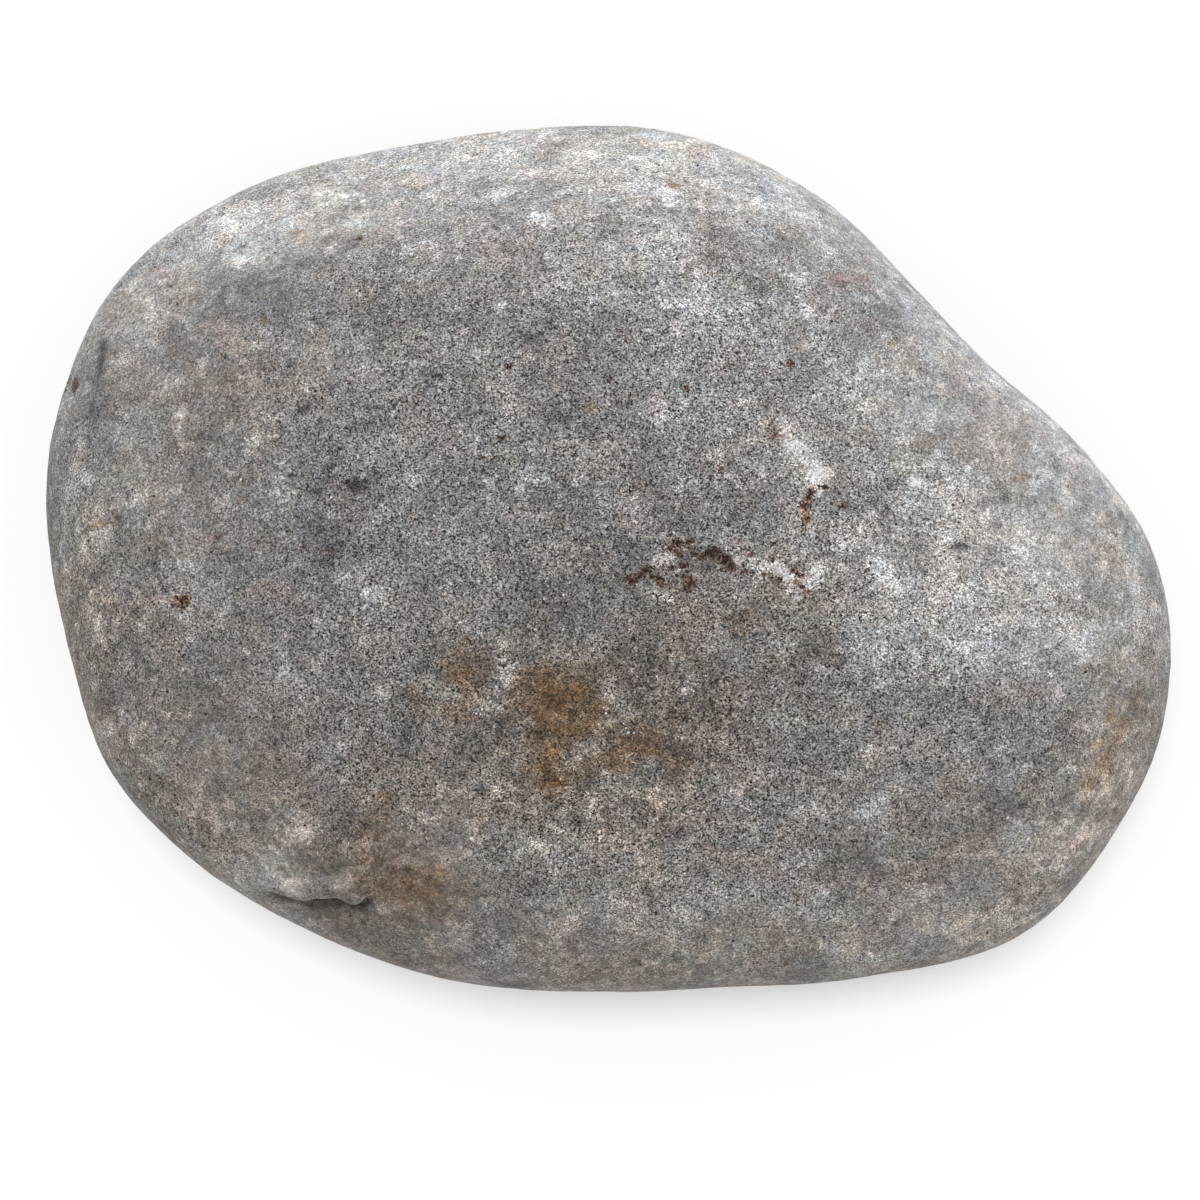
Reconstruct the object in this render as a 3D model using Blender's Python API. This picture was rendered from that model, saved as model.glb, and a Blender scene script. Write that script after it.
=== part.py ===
"""River pebble: one flattened, water-worn stone lying on the small flat worn on its underside.

The stone is a rounded lens. An outline runs round its middle, a broad crown closes it above and a belly
closes it below. The river bed has rubbed soft flats on it, and a flake has come off low on one side, which
left a scalloped ledge. Sizes are in millimetres, and the mesh is made in metres: +Z is up, +X runs along
the stone, and the resting flat lies at z = 0 under the middle of the stone's plan.
"""

import math
from typing import NamedTuple

import bmesh
import bpy
import numpy as np

MM = 0.001
TURN = 360.0

# Driving sizes of the whole stone.
LENGTH = 100.0
WIDTH = 77.5
THICKNESS = 44.0
REST_FLAT_DEPTH = 0.4  # how far the resting flat is worn into the belly

# How evenly the mesh covers the stone.
SPHERE_SUBDIVISIONS = 5
RELAX_ROUNDS = 30

# How softly the surfaces run into each other: a low power is a wide curve, a high one a narrow corner.
LENS_POWER = 2.25
FLAT_POWER = 14.0
LEAST_SHARE = 0.02

# The outline round the middle, seen from above: azimuth in degrees from +X, and radius.
OUTLINE = (
    (0, 46.2), (12, 41.7), (25, 37.1), (42, 35.4), (62, 36.5), (85, 38.3), (103, 39.2), (118, 41.3),
    (135, 45.9), (150, 49.8), (167, 50.3), (182, 48.8), (191, 48.0), (202, 47.7), (215, 45.4), (232, 41.9),
    (250, 39.5), (270, 38.0), (284, 38.8), (300, 42.4), (316, 47.4), (330, 48.4), (345, 48.5),
)


class Flat(NamedTuple):
    """A worn face: its lean from straight up, the way it faces, both in degrees, and its distance."""

    lean: float
    toward: float
    distance: float


class Swell(NamedTuple):
    """A gentle rise, or a hollow where the height is negative, centred on the surface nearest a point."""

    x: float
    y: float
    z: float
    reach: float
    height: float


CROWN = Flat(4, 150, 22.8)
BELLY = Flat(177, 70, 22.5)

WORN_FLATS = (
    Flat(17, 42, 22.9),  # broad face, back right
    Flat(12, 280, 22.2),  # front face
    Flat(12, 168, 22.7),  # broad left face
    Flat(52, 100, 33.2),  # rubbed back rim
    Flat(46, 128, 35.9),  # rubbed back-left rim
    Flat(179, 230, 21.9),  # underside, where it rests
    Flat(162, 200, 26.3),  # underside, left
    Flat(156, 15, 26.4),  # underside, right
    Flat(126, 80, 34.0),  # underside, back
    Flat(134, 262, 34.0),  # underside, front
    Flat(130, 325, 41.3),  # underside, front right
    Flat(133, 150, 40.8),  # underside, back left
)

# The belt, where the stone is widest, isn't level: it waves this far up and down, peaking at an azimuth.
BELT_LEAN = 3.4
BELT_LEAN_PEAK = 258
BELT_WAVE = 1.3
BELT_WAVE_PEAK = 30

SWELLS = (
    Swell(31, -3, 17, 11.0, 0.50),  # right shoulder
    Swell(27, 21, 9, 8.0, -0.60),  # hollow behind the waist of the outline
    Swell(-21, 34, 8, 5.0, -0.35),  # shallow nick in the back rim
    Swell(-46, 16, 4, 4.0, -0.35),  # nick in the left rim
    Swell(-12, 20, 18, 9.0, 0.30),
    Swell(4, -9, 20, 9.0, -0.30),
    Swell(-30, -8, 18, 9.0, 0.25),
    Swell(12, -27, 15, 8.0, 0.25),
    Swell(-24, 12, -17, 10.0, 0.40),
    Swell(26, 8, -16, 9.0, -0.40),
    Swell(8, -28, -12, 10.0, 0.40),
    Swell(-36, -14, -10, 8.0, -0.45),
    Swell(40, -12, -6, 9.0, 0.35),
    Swell(-4, 33, -8, 9.0, 0.35),
)

# The ledge that the lost flake left low on the front-left side, from its left end to its right end.
LEDGE_LEFT = (-28.8, -29.2, 7.9)
LEDGE_RIGHT = (-19.6, -29.4, 13.0)
LEDGE_DEPTH = 0.85
LEDGE_LIP_WIDTH = 1.0
LEDGE_FADE = 6.5
LEDGE_END_FADE = 2.2
LEDGE_SCALLOP = 0.3
LEDGE_SCALLOP_LENGTH = 4.0
LEDGE_SCALLOP_START = 1.8
LEDGE_REFINE_REACHES = (6.5, 3.0)

STONE_COLOUR = (0.262, 0.247, 0.233, 1.0)
STONE_ROUGHNESS = 0.9


def outline_radius(azimuth: np.ndarray) -> np.ndarray:
    """The outline's radius at each azimuth in degrees, on a smooth closed curve through its points."""
    angles = np.array([angle for angle, _ in OUTLINE], float)
    knots = np.concatenate([angles - TURN, angles, angles + TURN])
    radii = np.tile([radius for _, radius in OUTLINE], 3)
    slopes = np.gradient(radii, knots)
    azimuth = np.mod(azimuth, TURN)
    low = np.searchsorted(knots, azimuth, side="right") - 1
    gap = knots[low + 1] - knots[low]
    along = (azimuth - knots[low]) / gap
    ease = along * along * (3 - 2 * along)
    bend_low = along * (1 - along) ** 2 * gap * slopes[low]
    bend_high = along * along * (along - 1) * gap * slopes[low + 1]
    return radii[low] * (1 - ease) + radii[low + 1] * ease + bend_low + bend_high


def push(points: np.ndarray, flat: Flat) -> np.ndarray:
    """How far each point reaches towards a flat, as a share of the flat's distance, and never below 0."""
    lean, toward = math.radians(flat.lean), math.radians(flat.toward)
    facing = np.array(
        [math.sin(lean) * math.cos(toward), math.sin(lean) * math.sin(toward), math.cos(lean)]
    )
    return np.maximum(0.0, points @ facing) / flat.distance


def gauge(points: np.ndarray) -> np.ndarray:
    """The size of the stone that passes through each point: 1 on its surface, under 1 inside it."""
    azimuth = np.arctan2(points[:, 1], points[:, 0])
    radius = outline_radius(np.degrees(azimuth))
    rim_points = np.stack([radius * np.cos(azimuth), radius * np.sin(azimuth), 0 * azimuth], axis=1)
    at_rim = sum(push(rim_points, flat) ** FLAT_POWER for flat in WORN_FLATS)
    closed_rim = sum(push(rim_points, face) ** LENS_POWER for face in (CROWN, BELLY))
    share = np.maximum(LEAST_SHARE, 1 - at_rim) ** (LENS_POWER / FLAT_POWER) - closed_rim
    across = np.hypot(points[:, 0], points[:, 1]) / radius
    lens = np.maximum(LEAST_SHARE, share) * across**LENS_POWER
    lens += sum(push(points, face) ** LENS_POWER for face in (CROWN, BELLY))
    worn = sum(push(points, flat) ** FLAT_POWER for flat in WORN_FLATS)
    return (lens ** (FLAT_POWER / LENS_POWER) + worn) ** (1 / FLAT_POWER)


def on_surface(points: np.ndarray) -> np.ndarray:
    """Each point moved straight out from, or in to, the middle until it lies on the stone's form."""
    return points / gauge(points)[:, None]


def smooth_step(values: np.ndarray) -> np.ndarray:
    """0 below 0, 1 above 1, and a smooth rise between them."""
    values = np.clip(values, 0.0, 1.0)
    return values * values * (3 - 2 * values)


def tilt_belt(points: np.ndarray) -> np.ndarray:
    """The points with the stone's widest level raised and lowered round it, and its faces left in place."""
    azimuth = np.arctan2(points[:, 1], points[:, 0])
    across = np.hypot(points[:, 0], points[:, 1]) / outline_radius(np.degrees(azimuth))
    level = BELT_LEAN * np.cos(azimuth - math.radians(BELT_LEAN_PEAK))
    level += BELT_WAVE * np.cos(2 * (azimuth - math.radians(BELT_WAVE_PEAK)))
    from_faces = np.maximum(0.0, 1 - (2 * points[:, 2] / THICKNESS) ** 2)
    tilted = points.copy()
    tilted[:, 2] += level * across**4 * from_faces
    return tilted


def swell_heights(points: np.ndarray) -> np.ndarray:
    """How far the swells and hollows raise the surface at each point."""
    heights = np.zeros(len(points))
    for swell in SWELLS:
        centre = on_surface(np.array([swell[:3]], float))
        away = np.linalg.norm(points - centre, axis=1) / swell.reach
        heights += swell.height * np.exp(-away * away)
    return heights


def ledge_place(points: np.ndarray) -> tuple[np.ndarray, np.ndarray, float]:
    """Where each point lies by the ledge: along it from its left end, past its lip, and its length."""
    left, right = on_surface(np.array([LEDGE_LEFT, LEDGE_RIGHT], float))
    length = float(np.linalg.norm(right - left))
    run = (right - left) / length
    outward = np.cross(run, np.cross((left + right) / 2, run))
    down = np.cross(run, outward) / np.linalg.norm(outward)
    along = (points - left) @ run
    wave = np.sin(math.tau * (along - LEDGE_SCALLOP_START) / LEDGE_SCALLOP_LENGTH)
    return along, (points - left) @ down - LEDGE_SCALLOP * wave, length


def near_ledge(points: np.ndarray, reach: float) -> np.ndarray:
    """Whether each point of the upper side is within reach of the ledge's lip."""
    along, past, length = ledge_place(points)
    beyond_end = np.maximum(0.0, np.abs(along - length / 2) - length / 2)
    return (np.hypot(beyond_end, past) < reach) & (points[:, 2] > 0)


def ledge_depths(points: np.ndarray) -> np.ndarray:
    """How far the lost flake lowers the surface: most just past the lip, then less towards the rim."""
    along, past, length = ledge_place(points)
    from_left = smooth_step(along / LEDGE_END_FADE + 0.5)
    from_right = smooth_step((length - along) / LEDGE_END_FADE + 0.5)
    drop = smooth_step(past / LEDGE_LIP_WIDTH + 0.5)
    fade = 1 - smooth_step(past / LEDGE_FADE)
    return np.where(points[:, 2] > 0, LEDGE_DEPTH * from_left * from_right * drop * fade, 0.0)


def read_points(mesh: bmesh.types.BMesh) -> np.ndarray:
    """The mesh's points as one array."""
    return np.array([vert.co[:] for vert in mesh.verts], float)


def write_points(mesh: bmesh.types.BMesh, points: np.ndarray) -> None:
    """Moves each of the mesh's points to its place in the array."""
    for vert, point in zip(mesh.verts, points):
        vert.co = point


def lay_even_skin() -> bmesh.types.BMesh:
    """A ball's mesh drawn onto the stone's form, then relaxed until its triangles are about equal."""
    mesh = bmesh.new()
    bmesh.ops.create_icosphere(mesh, subdivisions=SPHERE_SUBDIVISIONS, radius=1.0)
    stretch = np.array([LENGTH, WIDTH, THICKNESS]) / 2
    write_points(mesh, on_surface(read_points(mesh) * stretch))
    for _ in range(RELAX_ROUNDS):
        bmesh.ops.smooth_vert(
            mesh, verts=mesh.verts, factor=0.5, use_axis_x=True, use_axis_y=True, use_axis_z=True
        )
        write_points(mesh, on_surface(read_points(mesh)))
    return mesh


def refine_ledge(mesh: bmesh.types.BMesh) -> None:
    """Halves the triangles round the ledge, twice beside its lip, so that the lip is a clear edge."""
    for reach in LEDGE_REFINE_REACHES:
        near = near_ledge(read_points(mesh), reach)
        edges = [edge for edge in mesh.edges if all(near[vert.index] for vert in edge.verts)]
        bmesh.ops.subdivide_edges(mesh, edges=edges, cuts=1, use_grid_fill=True)
        bmesh.ops.triangulate(mesh, faces=mesh.faces)
        mesh.verts.index_update()
        write_points(mesh, on_surface(read_points(mesh)))


def wear_surface(mesh: bmesh.types.BMesh) -> None:
    """Raises the swells, sinks the hollows and the ledge, and brings the stone to its driving sizes."""
    points = read_points(mesh)
    rises = swell_heights(points) - ledge_depths(points)
    write_points(mesh, tilt_belt(points))
    mesh.normal_update()
    normals = np.array([vert.normal[:] for vert in mesh.verts], float)
    points = read_points(mesh) + normals * rises[:, None]
    low, high = points.min(axis=0), points.max(axis=0)
    sizes = np.array([LENGTH, WIDTH, THICKNESS + REST_FLAT_DEPTH])
    points = (points - (low + high) / 2) * sizes / (high - low)
    points[:, 2] += THICKNESS / 2 - REST_FLAT_DEPTH / 2
    write_points(mesh, points)


def wear_rest_flat(mesh: bmesh.types.BMesh) -> None:
    """Cuts the belly off level at z = 0 and closes the cut with the flat that the stone rests on."""
    cut = bmesh.ops.bisect_plane(
        mesh,
        geom=mesh.verts[:] + mesh.edges[:] + mesh.faces[:],
        plane_co=(0, 0, 0),
        plane_no=(0, 0, -1),
        clear_outer=True,
    )
    rim = [item for item in cut["geom_cut"] if isinstance(item, bmesh.types.BMEdge)]
    bmesh.ops.edgeloop_fill(mesh, edges=rim)
    bmesh.ops.triangulate(mesh, faces=mesh.faces)
    bmesh.ops.recalc_face_normals(mesh, faces=mesh.faces)


def make_stone_material() -> bpy.types.Material:
    """Grey, fine-grained, dry stone."""
    material = bpy.data.materials.new("river_stone")
    material.use_nodes = True
    shader = material.node_tree.nodes["Principled BSDF"]
    shader.inputs["Base Color"].default_value = STONE_COLOUR
    shader.inputs["Roughness"].default_value = STONE_ROUGHNESS
    shader.inputs["Metallic"].default_value = 0.0
    return material


def make_pebble() -> bpy.types.Object:
    """The whole stone, as one closed solid."""
    mesh = lay_even_skin()
    refine_ledge(mesh)
    wear_surface(mesh)
    wear_rest_flat(mesh)
    bmesh.ops.scale(mesh, vec=(MM, MM, MM), verts=mesh.verts)
    data = bpy.data.meshes.new("pebble")
    mesh.to_mesh(data)
    mesh.free()
    data.shade_smooth()
    data.materials.append(make_stone_material())
    pebble = bpy.data.objects.new("pebble", data)
    bpy.context.scene.collection.objects.link(pebble)
    return pebble


for leftover in list(bpy.data.objects):
    bpy.data.objects.remove(leftover)
make_pebble()
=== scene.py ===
"""River pebble: the looks of one flattened, water-worn stone lying on the small flat worn on its underside.

The stone's own sizes are in millimetres, and its mesh is finished in metres. +Z is up, +X runs along the
stone, and the resting flat lies at z = 0 under the middle of the stone's plan. The mesh repeats the stone's
form, then adds what is too fine for the solid: the crisp lip of the ledge, the dimples that other stones
have pecked into it and its small pits. Mineral stains are painted as attributes, together with painted
highlight on the rims that face the light and painted shade, such as the shadow under the ledge's lip, and
the material breaks them up grain by grain.
"""

import logging
import math
from dataclasses import dataclass
from enum import Enum
from typing import NamedTuple

import bmesh
import bpy
import numpy as np
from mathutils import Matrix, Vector, noise


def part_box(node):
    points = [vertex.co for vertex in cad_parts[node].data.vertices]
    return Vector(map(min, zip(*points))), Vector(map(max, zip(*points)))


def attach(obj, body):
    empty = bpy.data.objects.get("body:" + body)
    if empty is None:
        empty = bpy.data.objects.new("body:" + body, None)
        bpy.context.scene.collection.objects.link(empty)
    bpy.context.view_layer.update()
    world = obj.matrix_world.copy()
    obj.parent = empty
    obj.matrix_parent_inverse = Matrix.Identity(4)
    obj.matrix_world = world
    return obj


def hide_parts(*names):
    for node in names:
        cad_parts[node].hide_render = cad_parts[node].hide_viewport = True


MM = 0.001
TURN = 360.0
NODE = "pebble"
OCTAVE_SHIFT = 17.0  # keeps the layers of a noise pattern from lining up
FULL_COVER_AT = 0.3  # how strong a mark is where it may cover the stone fully
GRAIN_EDGE = 0.24  # how softly an odd grain ends, as a share of its cell

log = logging.getLogger("river_pebble")

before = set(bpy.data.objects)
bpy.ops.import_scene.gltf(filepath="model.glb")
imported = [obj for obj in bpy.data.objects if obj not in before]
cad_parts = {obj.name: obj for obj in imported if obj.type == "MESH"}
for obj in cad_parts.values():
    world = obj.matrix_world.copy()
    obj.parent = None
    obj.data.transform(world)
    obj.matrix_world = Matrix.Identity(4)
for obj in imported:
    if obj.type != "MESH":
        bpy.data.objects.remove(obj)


# ---------------------------------------------------------------------------------------------------------
# Small tools
# ---------------------------------------------------------------------------------------------------------


def smooth_step(values: np.ndarray) -> np.ndarray:
    """0 below 0, 1 above 1, and a smooth rise between them.

    Args:
        values: Any numbers.

    Returns:
        The eased numbers, from 0 to 1.
    """
    values = np.clip(values, 0.0, 1.0)
    return values * values * (3 - 2 * values)


def noise_at(points: np.ndarray, wavelength: float, octaves: int = 1, shift: float = 0.0) -> np.ndarray:
    """Smooth noise that is the same each time.

    Args:
        points: Places in millimetres.
        wavelength: The size of its largest lumps, in millimetres.
        octaves: How many times lumps of half the size are added.
        shift: Moves the pattern, so that two patterns of one size differ.

    Returns:
        A value for each point, mostly between -1 and 1.
    """
    total = np.zeros(len(points))
    for octave in range(octaves):
        places = points * (2**octave / wavelength) + shift + OCTAVE_SHIFT * octave
        total += np.array([noise.noise(Vector(place)) for place in places]) / 2**octave
    return total


# ---------------------------------------------------------------------------------------------------------
# The stone's form
# ---------------------------------------------------------------------------------------------------------


class Flat(NamedTuple):
    """A worn face: its lean from straight up, the way it faces, both in degrees, and its distance."""

    lean: float
    toward: float
    distance: float


class Swell(NamedTuple):
    """A gentle rise, or a hollow where the height is negative, centred on the surface nearest a point."""

    x: float
    y: float
    z: float
    reach: float
    height: float


@dataclass(frozen=True)
class PebbleForm:
    """The stone's smooth form: a lens with worn flats, inside an outline.

    The form is a gauge: 1 on the surface, under 1 inside, and twice as much twice as far from the middle.
    """

    length: float
    width: float
    thickness: float
    rest_flat_depth: float = 0.4
    lens_power: float = 2.25
    flat_power: float = 14.0
    least_share: float = 0.02
    outline: tuple = (
        (0, 46.2), (12, 41.7), (25, 37.1), (42, 35.4), (62, 36.5), (85, 38.3), (103, 39.2), (118, 41.3),
        (135, 45.9), (150, 49.8), (167, 50.3), (182, 48.8), (191, 48.0), (202, 47.7), (215, 45.4),
        (232, 41.9), (250, 39.5), (270, 38.0), (284, 38.8), (300, 42.4), (316, 47.4), (330, 48.4),
        (345, 48.5),
    )
    closing_faces: tuple = (Flat(4, 150, 22.8), Flat(177, 70, 22.5))  # crown and belly
    worn_flats: tuple = (
        Flat(17, 42, 22.9),  # broad face, back right
        Flat(12, 280, 22.2),  # front face
        Flat(12, 168, 22.7),  # broad left face
        Flat(52, 100, 33.2),  # rubbed back rim
        Flat(46, 128, 35.9),  # rubbed back-left rim
        Flat(179, 230, 21.9),  # underside, where it rests
        Flat(162, 200, 26.3),  # underside, left
        Flat(156, 15, 26.4),  # underside, right
        Flat(126, 80, 34.0),  # underside, back
        Flat(134, 262, 34.0),  # underside, front
        Flat(130, 325, 41.3),  # underside, front right
        Flat(133, 150, 40.8),  # underside, back left
    )
    belt_lean: float = 3.4
    belt_lean_peak: float = 258.0
    belt_wave: float = 1.3
    belt_wave_peak: float = 30.0
    swells: tuple = (
        Swell(31, -3, 17, 11.0, 0.50),  # right shoulder
        Swell(27, 21, 9, 8.0, -0.60),  # hollow behind the waist of the outline
        Swell(-21, 34, 8, 5.0, -0.35),  # shallow nick in the back rim
        Swell(-46, 16, 4, 4.0, -0.35),  # nick in the left rim
        Swell(-12, 20, 18, 9.0, 0.30),
        Swell(4, -9, 20, 9.0, -0.30),
        Swell(-30, -8, 18, 9.0, 0.25),
        Swell(12, -27, 15, 8.0, 0.25),
        Swell(-24, 12, -17, 10.0, 0.40),
        Swell(26, 8, -16, 9.0, -0.40),
        Swell(8, -28, -12, 10.0, 0.40),
        Swell(-36, -14, -10, 8.0, -0.45),
        Swell(40, -12, -6, 9.0, 0.35),
        Swell(-4, 33, -8, 9.0, 0.35),
    )

    def outline_radius(self, azimuth: np.ndarray) -> np.ndarray:
        """The outline's radius, on a smooth closed curve through its points.

        Args:
            azimuth: Angles round the stone from +X, in degrees.

        Returns:
            The radius at each angle, in millimetres.
        """
        angles = np.array([angle for angle, _ in self.outline], float)
        knots = np.concatenate([angles - TURN, angles, angles + TURN])
        radii = np.tile([radius for _, radius in self.outline], 3)
        slopes = np.gradient(radii, knots)
        azimuth = np.mod(azimuth, TURN)
        low = np.searchsorted(knots, azimuth, side="right") - 1
        gap = knots[low + 1] - knots[low]
        along = (azimuth - knots[low]) / gap
        ease = along * along * (3 - 2 * along)
        bend_low = along * (1 - along) ** 2 * gap * slopes[low]
        bend_high = along * along * (along - 1) * gap * slopes[low + 1]
        return radii[low] * (1 - ease) + radii[low + 1] * ease + bend_low + bend_high

    @staticmethod
    def push(points: np.ndarray, flat: Flat) -> np.ndarray:
        """How far each point reaches towards a flat.

        Args:
            points: Places in millimetres.
            flat: The worn face.

        Returns:
            For each point, a share of the flat's distance, and never below 0.
        """
        lean, toward = math.radians(flat.lean), math.radians(flat.toward)
        facing = np.array(
            [math.sin(lean) * math.cos(toward), math.sin(lean) * math.sin(toward), math.cos(lean)]
        )
        return np.maximum(0.0, points @ facing) / flat.distance

    def gauge(self, points: np.ndarray) -> np.ndarray:
        """The size of the stone that passes through each point.

        Args:
            points: Places in millimetres.

        Returns:
            1 on the stone's surface, under 1 inside it.
        """
        azimuth = np.arctan2(points[:, 1], points[:, 0])
        radius = self.outline_radius(np.degrees(azimuth))
        rim = np.stack([radius * np.cos(azimuth), radius * np.sin(azimuth), 0 * azimuth], axis=1)
        at_rim = sum(self.push(rim, flat) ** self.flat_power for flat in self.worn_flats)
        closed_rim = sum(self.push(rim, face) ** self.lens_power for face in self.closing_faces)
        share = np.maximum(self.least_share, 1 - at_rim) ** (self.lens_power / self.flat_power)
        across = np.hypot(points[:, 0], points[:, 1]) / radius
        lens = np.maximum(self.least_share, share - closed_rim) * across**self.lens_power
        lens += sum(self.push(points, face) ** self.lens_power for face in self.closing_faces)
        worn = sum(self.push(points, flat) ** self.flat_power for flat in self.worn_flats)
        return (lens ** (self.flat_power / self.lens_power) + worn) ** (1 / self.flat_power)

    def on_surface(self, points: np.ndarray) -> np.ndarray:
        """Each point moved straight out from, or in to, the middle until it lies on the form."""
        return points / self.gauge(points)[:, None]

    def tilt_belt(self, points: np.ndarray) -> np.ndarray:
        """Raises and lowers the stone's widest level round it, and leaves its faces in place.

        Args:
            points: Places on the form.

        Returns:
            The moved places.
        """
        azimuth = np.arctan2(points[:, 1], points[:, 0])
        across = np.hypot(points[:, 0], points[:, 1]) / self.outline_radius(np.degrees(azimuth))
        level = self.belt_lean * np.cos(azimuth - math.radians(self.belt_lean_peak))
        level += self.belt_wave * np.cos(2 * (azimuth - math.radians(self.belt_wave_peak)))
        from_faces = np.maximum(0.0, 1 - (2 * points[:, 2] / self.thickness) ** 2)
        tilted = points.copy()
        tilted[:, 2] += level * across**4 * from_faces
        return tilted

    def swell_heights(self, points: np.ndarray) -> np.ndarray:
        """How far the swells and hollows raise the surface.

        Args:
            points: Places on the form.

        Returns:
            A height for each point, in millimetres.
        """
        heights = np.zeros(len(points))
        for swell in self.swells:
            centre = self.on_surface(np.array([swell[:3]], float))
            away = np.linalg.norm(points - centre, axis=1) / swell.reach
            heights += swell.height * np.exp(-away * away)
        return heights

    def bring_to_size(self, points: np.ndarray) -> np.ndarray:
        """Brings the stone to its full sizes, with its resting flat's level at z = 0.

        Args:
            points: The shaped surface.

        Returns:
            The surface with its full length, width and thickness, centred in plan.
        """
        low, high = points.min(axis=0), points.max(axis=0)
        sizes = np.array([self.length, self.width, self.thickness + self.rest_flat_depth])
        points = (points - (low + high) / 2) * sizes / (high - low)
        points[:, 2] += (self.thickness - self.rest_flat_depth) / 2
        return points


class Scallop(NamedTuple):
    """A tongue of the ledge's lip: how far along it is, its half width and how far down it hangs."""

    along: float
    half_width: float
    hang: float


@dataclass(frozen=True)
class FlakeLedge:
    """The ledge that a lost flake left low on the front-left side: a scalloped lip above a shallow scar."""

    form: PebbleForm
    left: tuple = (-29.8, -29.0, 7.3)
    right: tuple = (-20.8, -28.9, 12.6)
    depth: float = 0.85
    lip_width: float = 0.40
    lip_rise: float = 0.15
    lip_roll: float = 0.8
    crease: float = 0.18
    crease_width: float = 0.24
    fade: float = 6.5
    end_fade: float = 2.8
    scallops: tuple = (Scallop(3.6, 1.5, 0.70), Scallop(6.4, 1.3, 0.25), Scallop(8.8, 1.05, 1.05))
    chatter: float = 0.12
    chatter_length: float = 1.1
    chatter_shift: float = 3.0
    # The painted shadow under the lip, laid as dark silt: how far its line reaches at each end, its fade and
    # its haze.
    lip_shadow_lines: tuple = (1.9, 0.8)
    lip_shadow_fade: float = 2.6
    lip_shadow_haze: float = 0.5

    def place(self, points: np.ndarray) -> tuple[np.ndarray, np.ndarray, float]:
        """Where each point lies by the ledge.

        Args:
            points: Places on the form.

        Returns:
            How far along from its left end, how far past its lip, and the ledge's length.
        """
        left, right = self.form.on_surface(np.array([self.left, self.right], float))
        length = float(np.linalg.norm(right - left))
        run = (right - left) / length
        outward = np.cross(run, np.cross((left + right) / 2, run))
        down = np.cross(run, outward) / np.linalg.norm(outward)
        along = (points - left) @ run
        hang = sum(s.hang * np.exp(-(((along - s.along) / s.half_width) ** 2)) for s in self.scallops)
        return along, (points - left) @ down - hang, length

    def near(self, points: np.ndarray, reach: float) -> np.ndarray:
        """Whether each point of the upper side is within reach of the lip.

        Args:
            points: Places on the form.
            reach: A distance in millimetres.

        Returns:
            True or False for each point.
        """
        along, past, length = self.place(points)
        beyond_end = np.maximum(0.0, np.abs(along - length / 2) - length / 2)
        return (np.hypot(beyond_end, past) < reach) & (points[:, 2] > 0)

    def rises(self, points: np.ndarray) -> np.ndarray:
        """How far the lost flake lowers the surface, and how far its worn lip stands up.

        Args:
            points: Places on the form.

        Returns:
            A height for each point, negative in the scar.
        """
        past, ends, _ = self.broken_edge(points)
        drop = smooth_step(past / self.lip_width + 0.5) * (1 - smooth_step(past / self.fade))
        lip = np.exp(-(((past + self.lip_roll) / self.lip_roll) ** 2))
        crease = np.exp(-(((past - self.lip_width) / self.crease_width) ** 2))
        return ends * (self.lip_rise * lip - self.depth * drop - self.crease * crease)

    def broken_edge(self, points: np.ndarray) -> tuple[np.ndarray, np.ndarray, np.ndarray]:
        """Where each point lies by the chipped edge.

        Args:
            points: Places on the form.

        Returns:
            How far past the chipped lip; the ledge's share, which falls to 0 past its ends and below; and
            how far along, from 0 at its left end to 1.
        """
        along, past, length = self.place(points)
        near = np.abs(past) < 2 * self.fade
        chipped = past.copy()
        chipped[near] += self.chatter * noise_at(points[near], self.chatter_length, 2, self.chatter_shift)
        ends = smooth_step(along / self.end_fade + 0.5)
        ends *= smooth_step((length - along) / self.end_fade + 0.5)
        return chipped, np.where(points[:, 2] > 0, ends, 0.0), np.clip(along / length, 0.0, 1.0)

    def lip_shadow_and_silt(self, points: np.ndarray) -> np.ndarray:
        """How much painted shadow, and silt, lies at the foot of the ledge under its lip.

        Args:
            points: Places on the form.

        Returns:
            A value from 0 to 1 for each point.
        """
        past, ends, run = self.broken_edge(points)
        below = smooth_step(past / self.lip_width + 0.5)
        reach = np.interp(run, (0.0, 1.0), self.lip_shadow_lines)
        line = np.exp(-np.maximum(0.0, past / reach) ** 4)
        haze = np.exp(-np.maximum(0.0, (past - reach) / self.lip_shadow_fade))
        return ends * below * np.clip(line + self.lip_shadow_haze * haze, 0.0, 1.0)


class Pit(NamedTuple):
    """A small hollow in the finished stone's upper or under side, in plan, with its radius and depth."""

    x: float
    y: float
    radius: float
    depth: float
    top: bool = True


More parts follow.
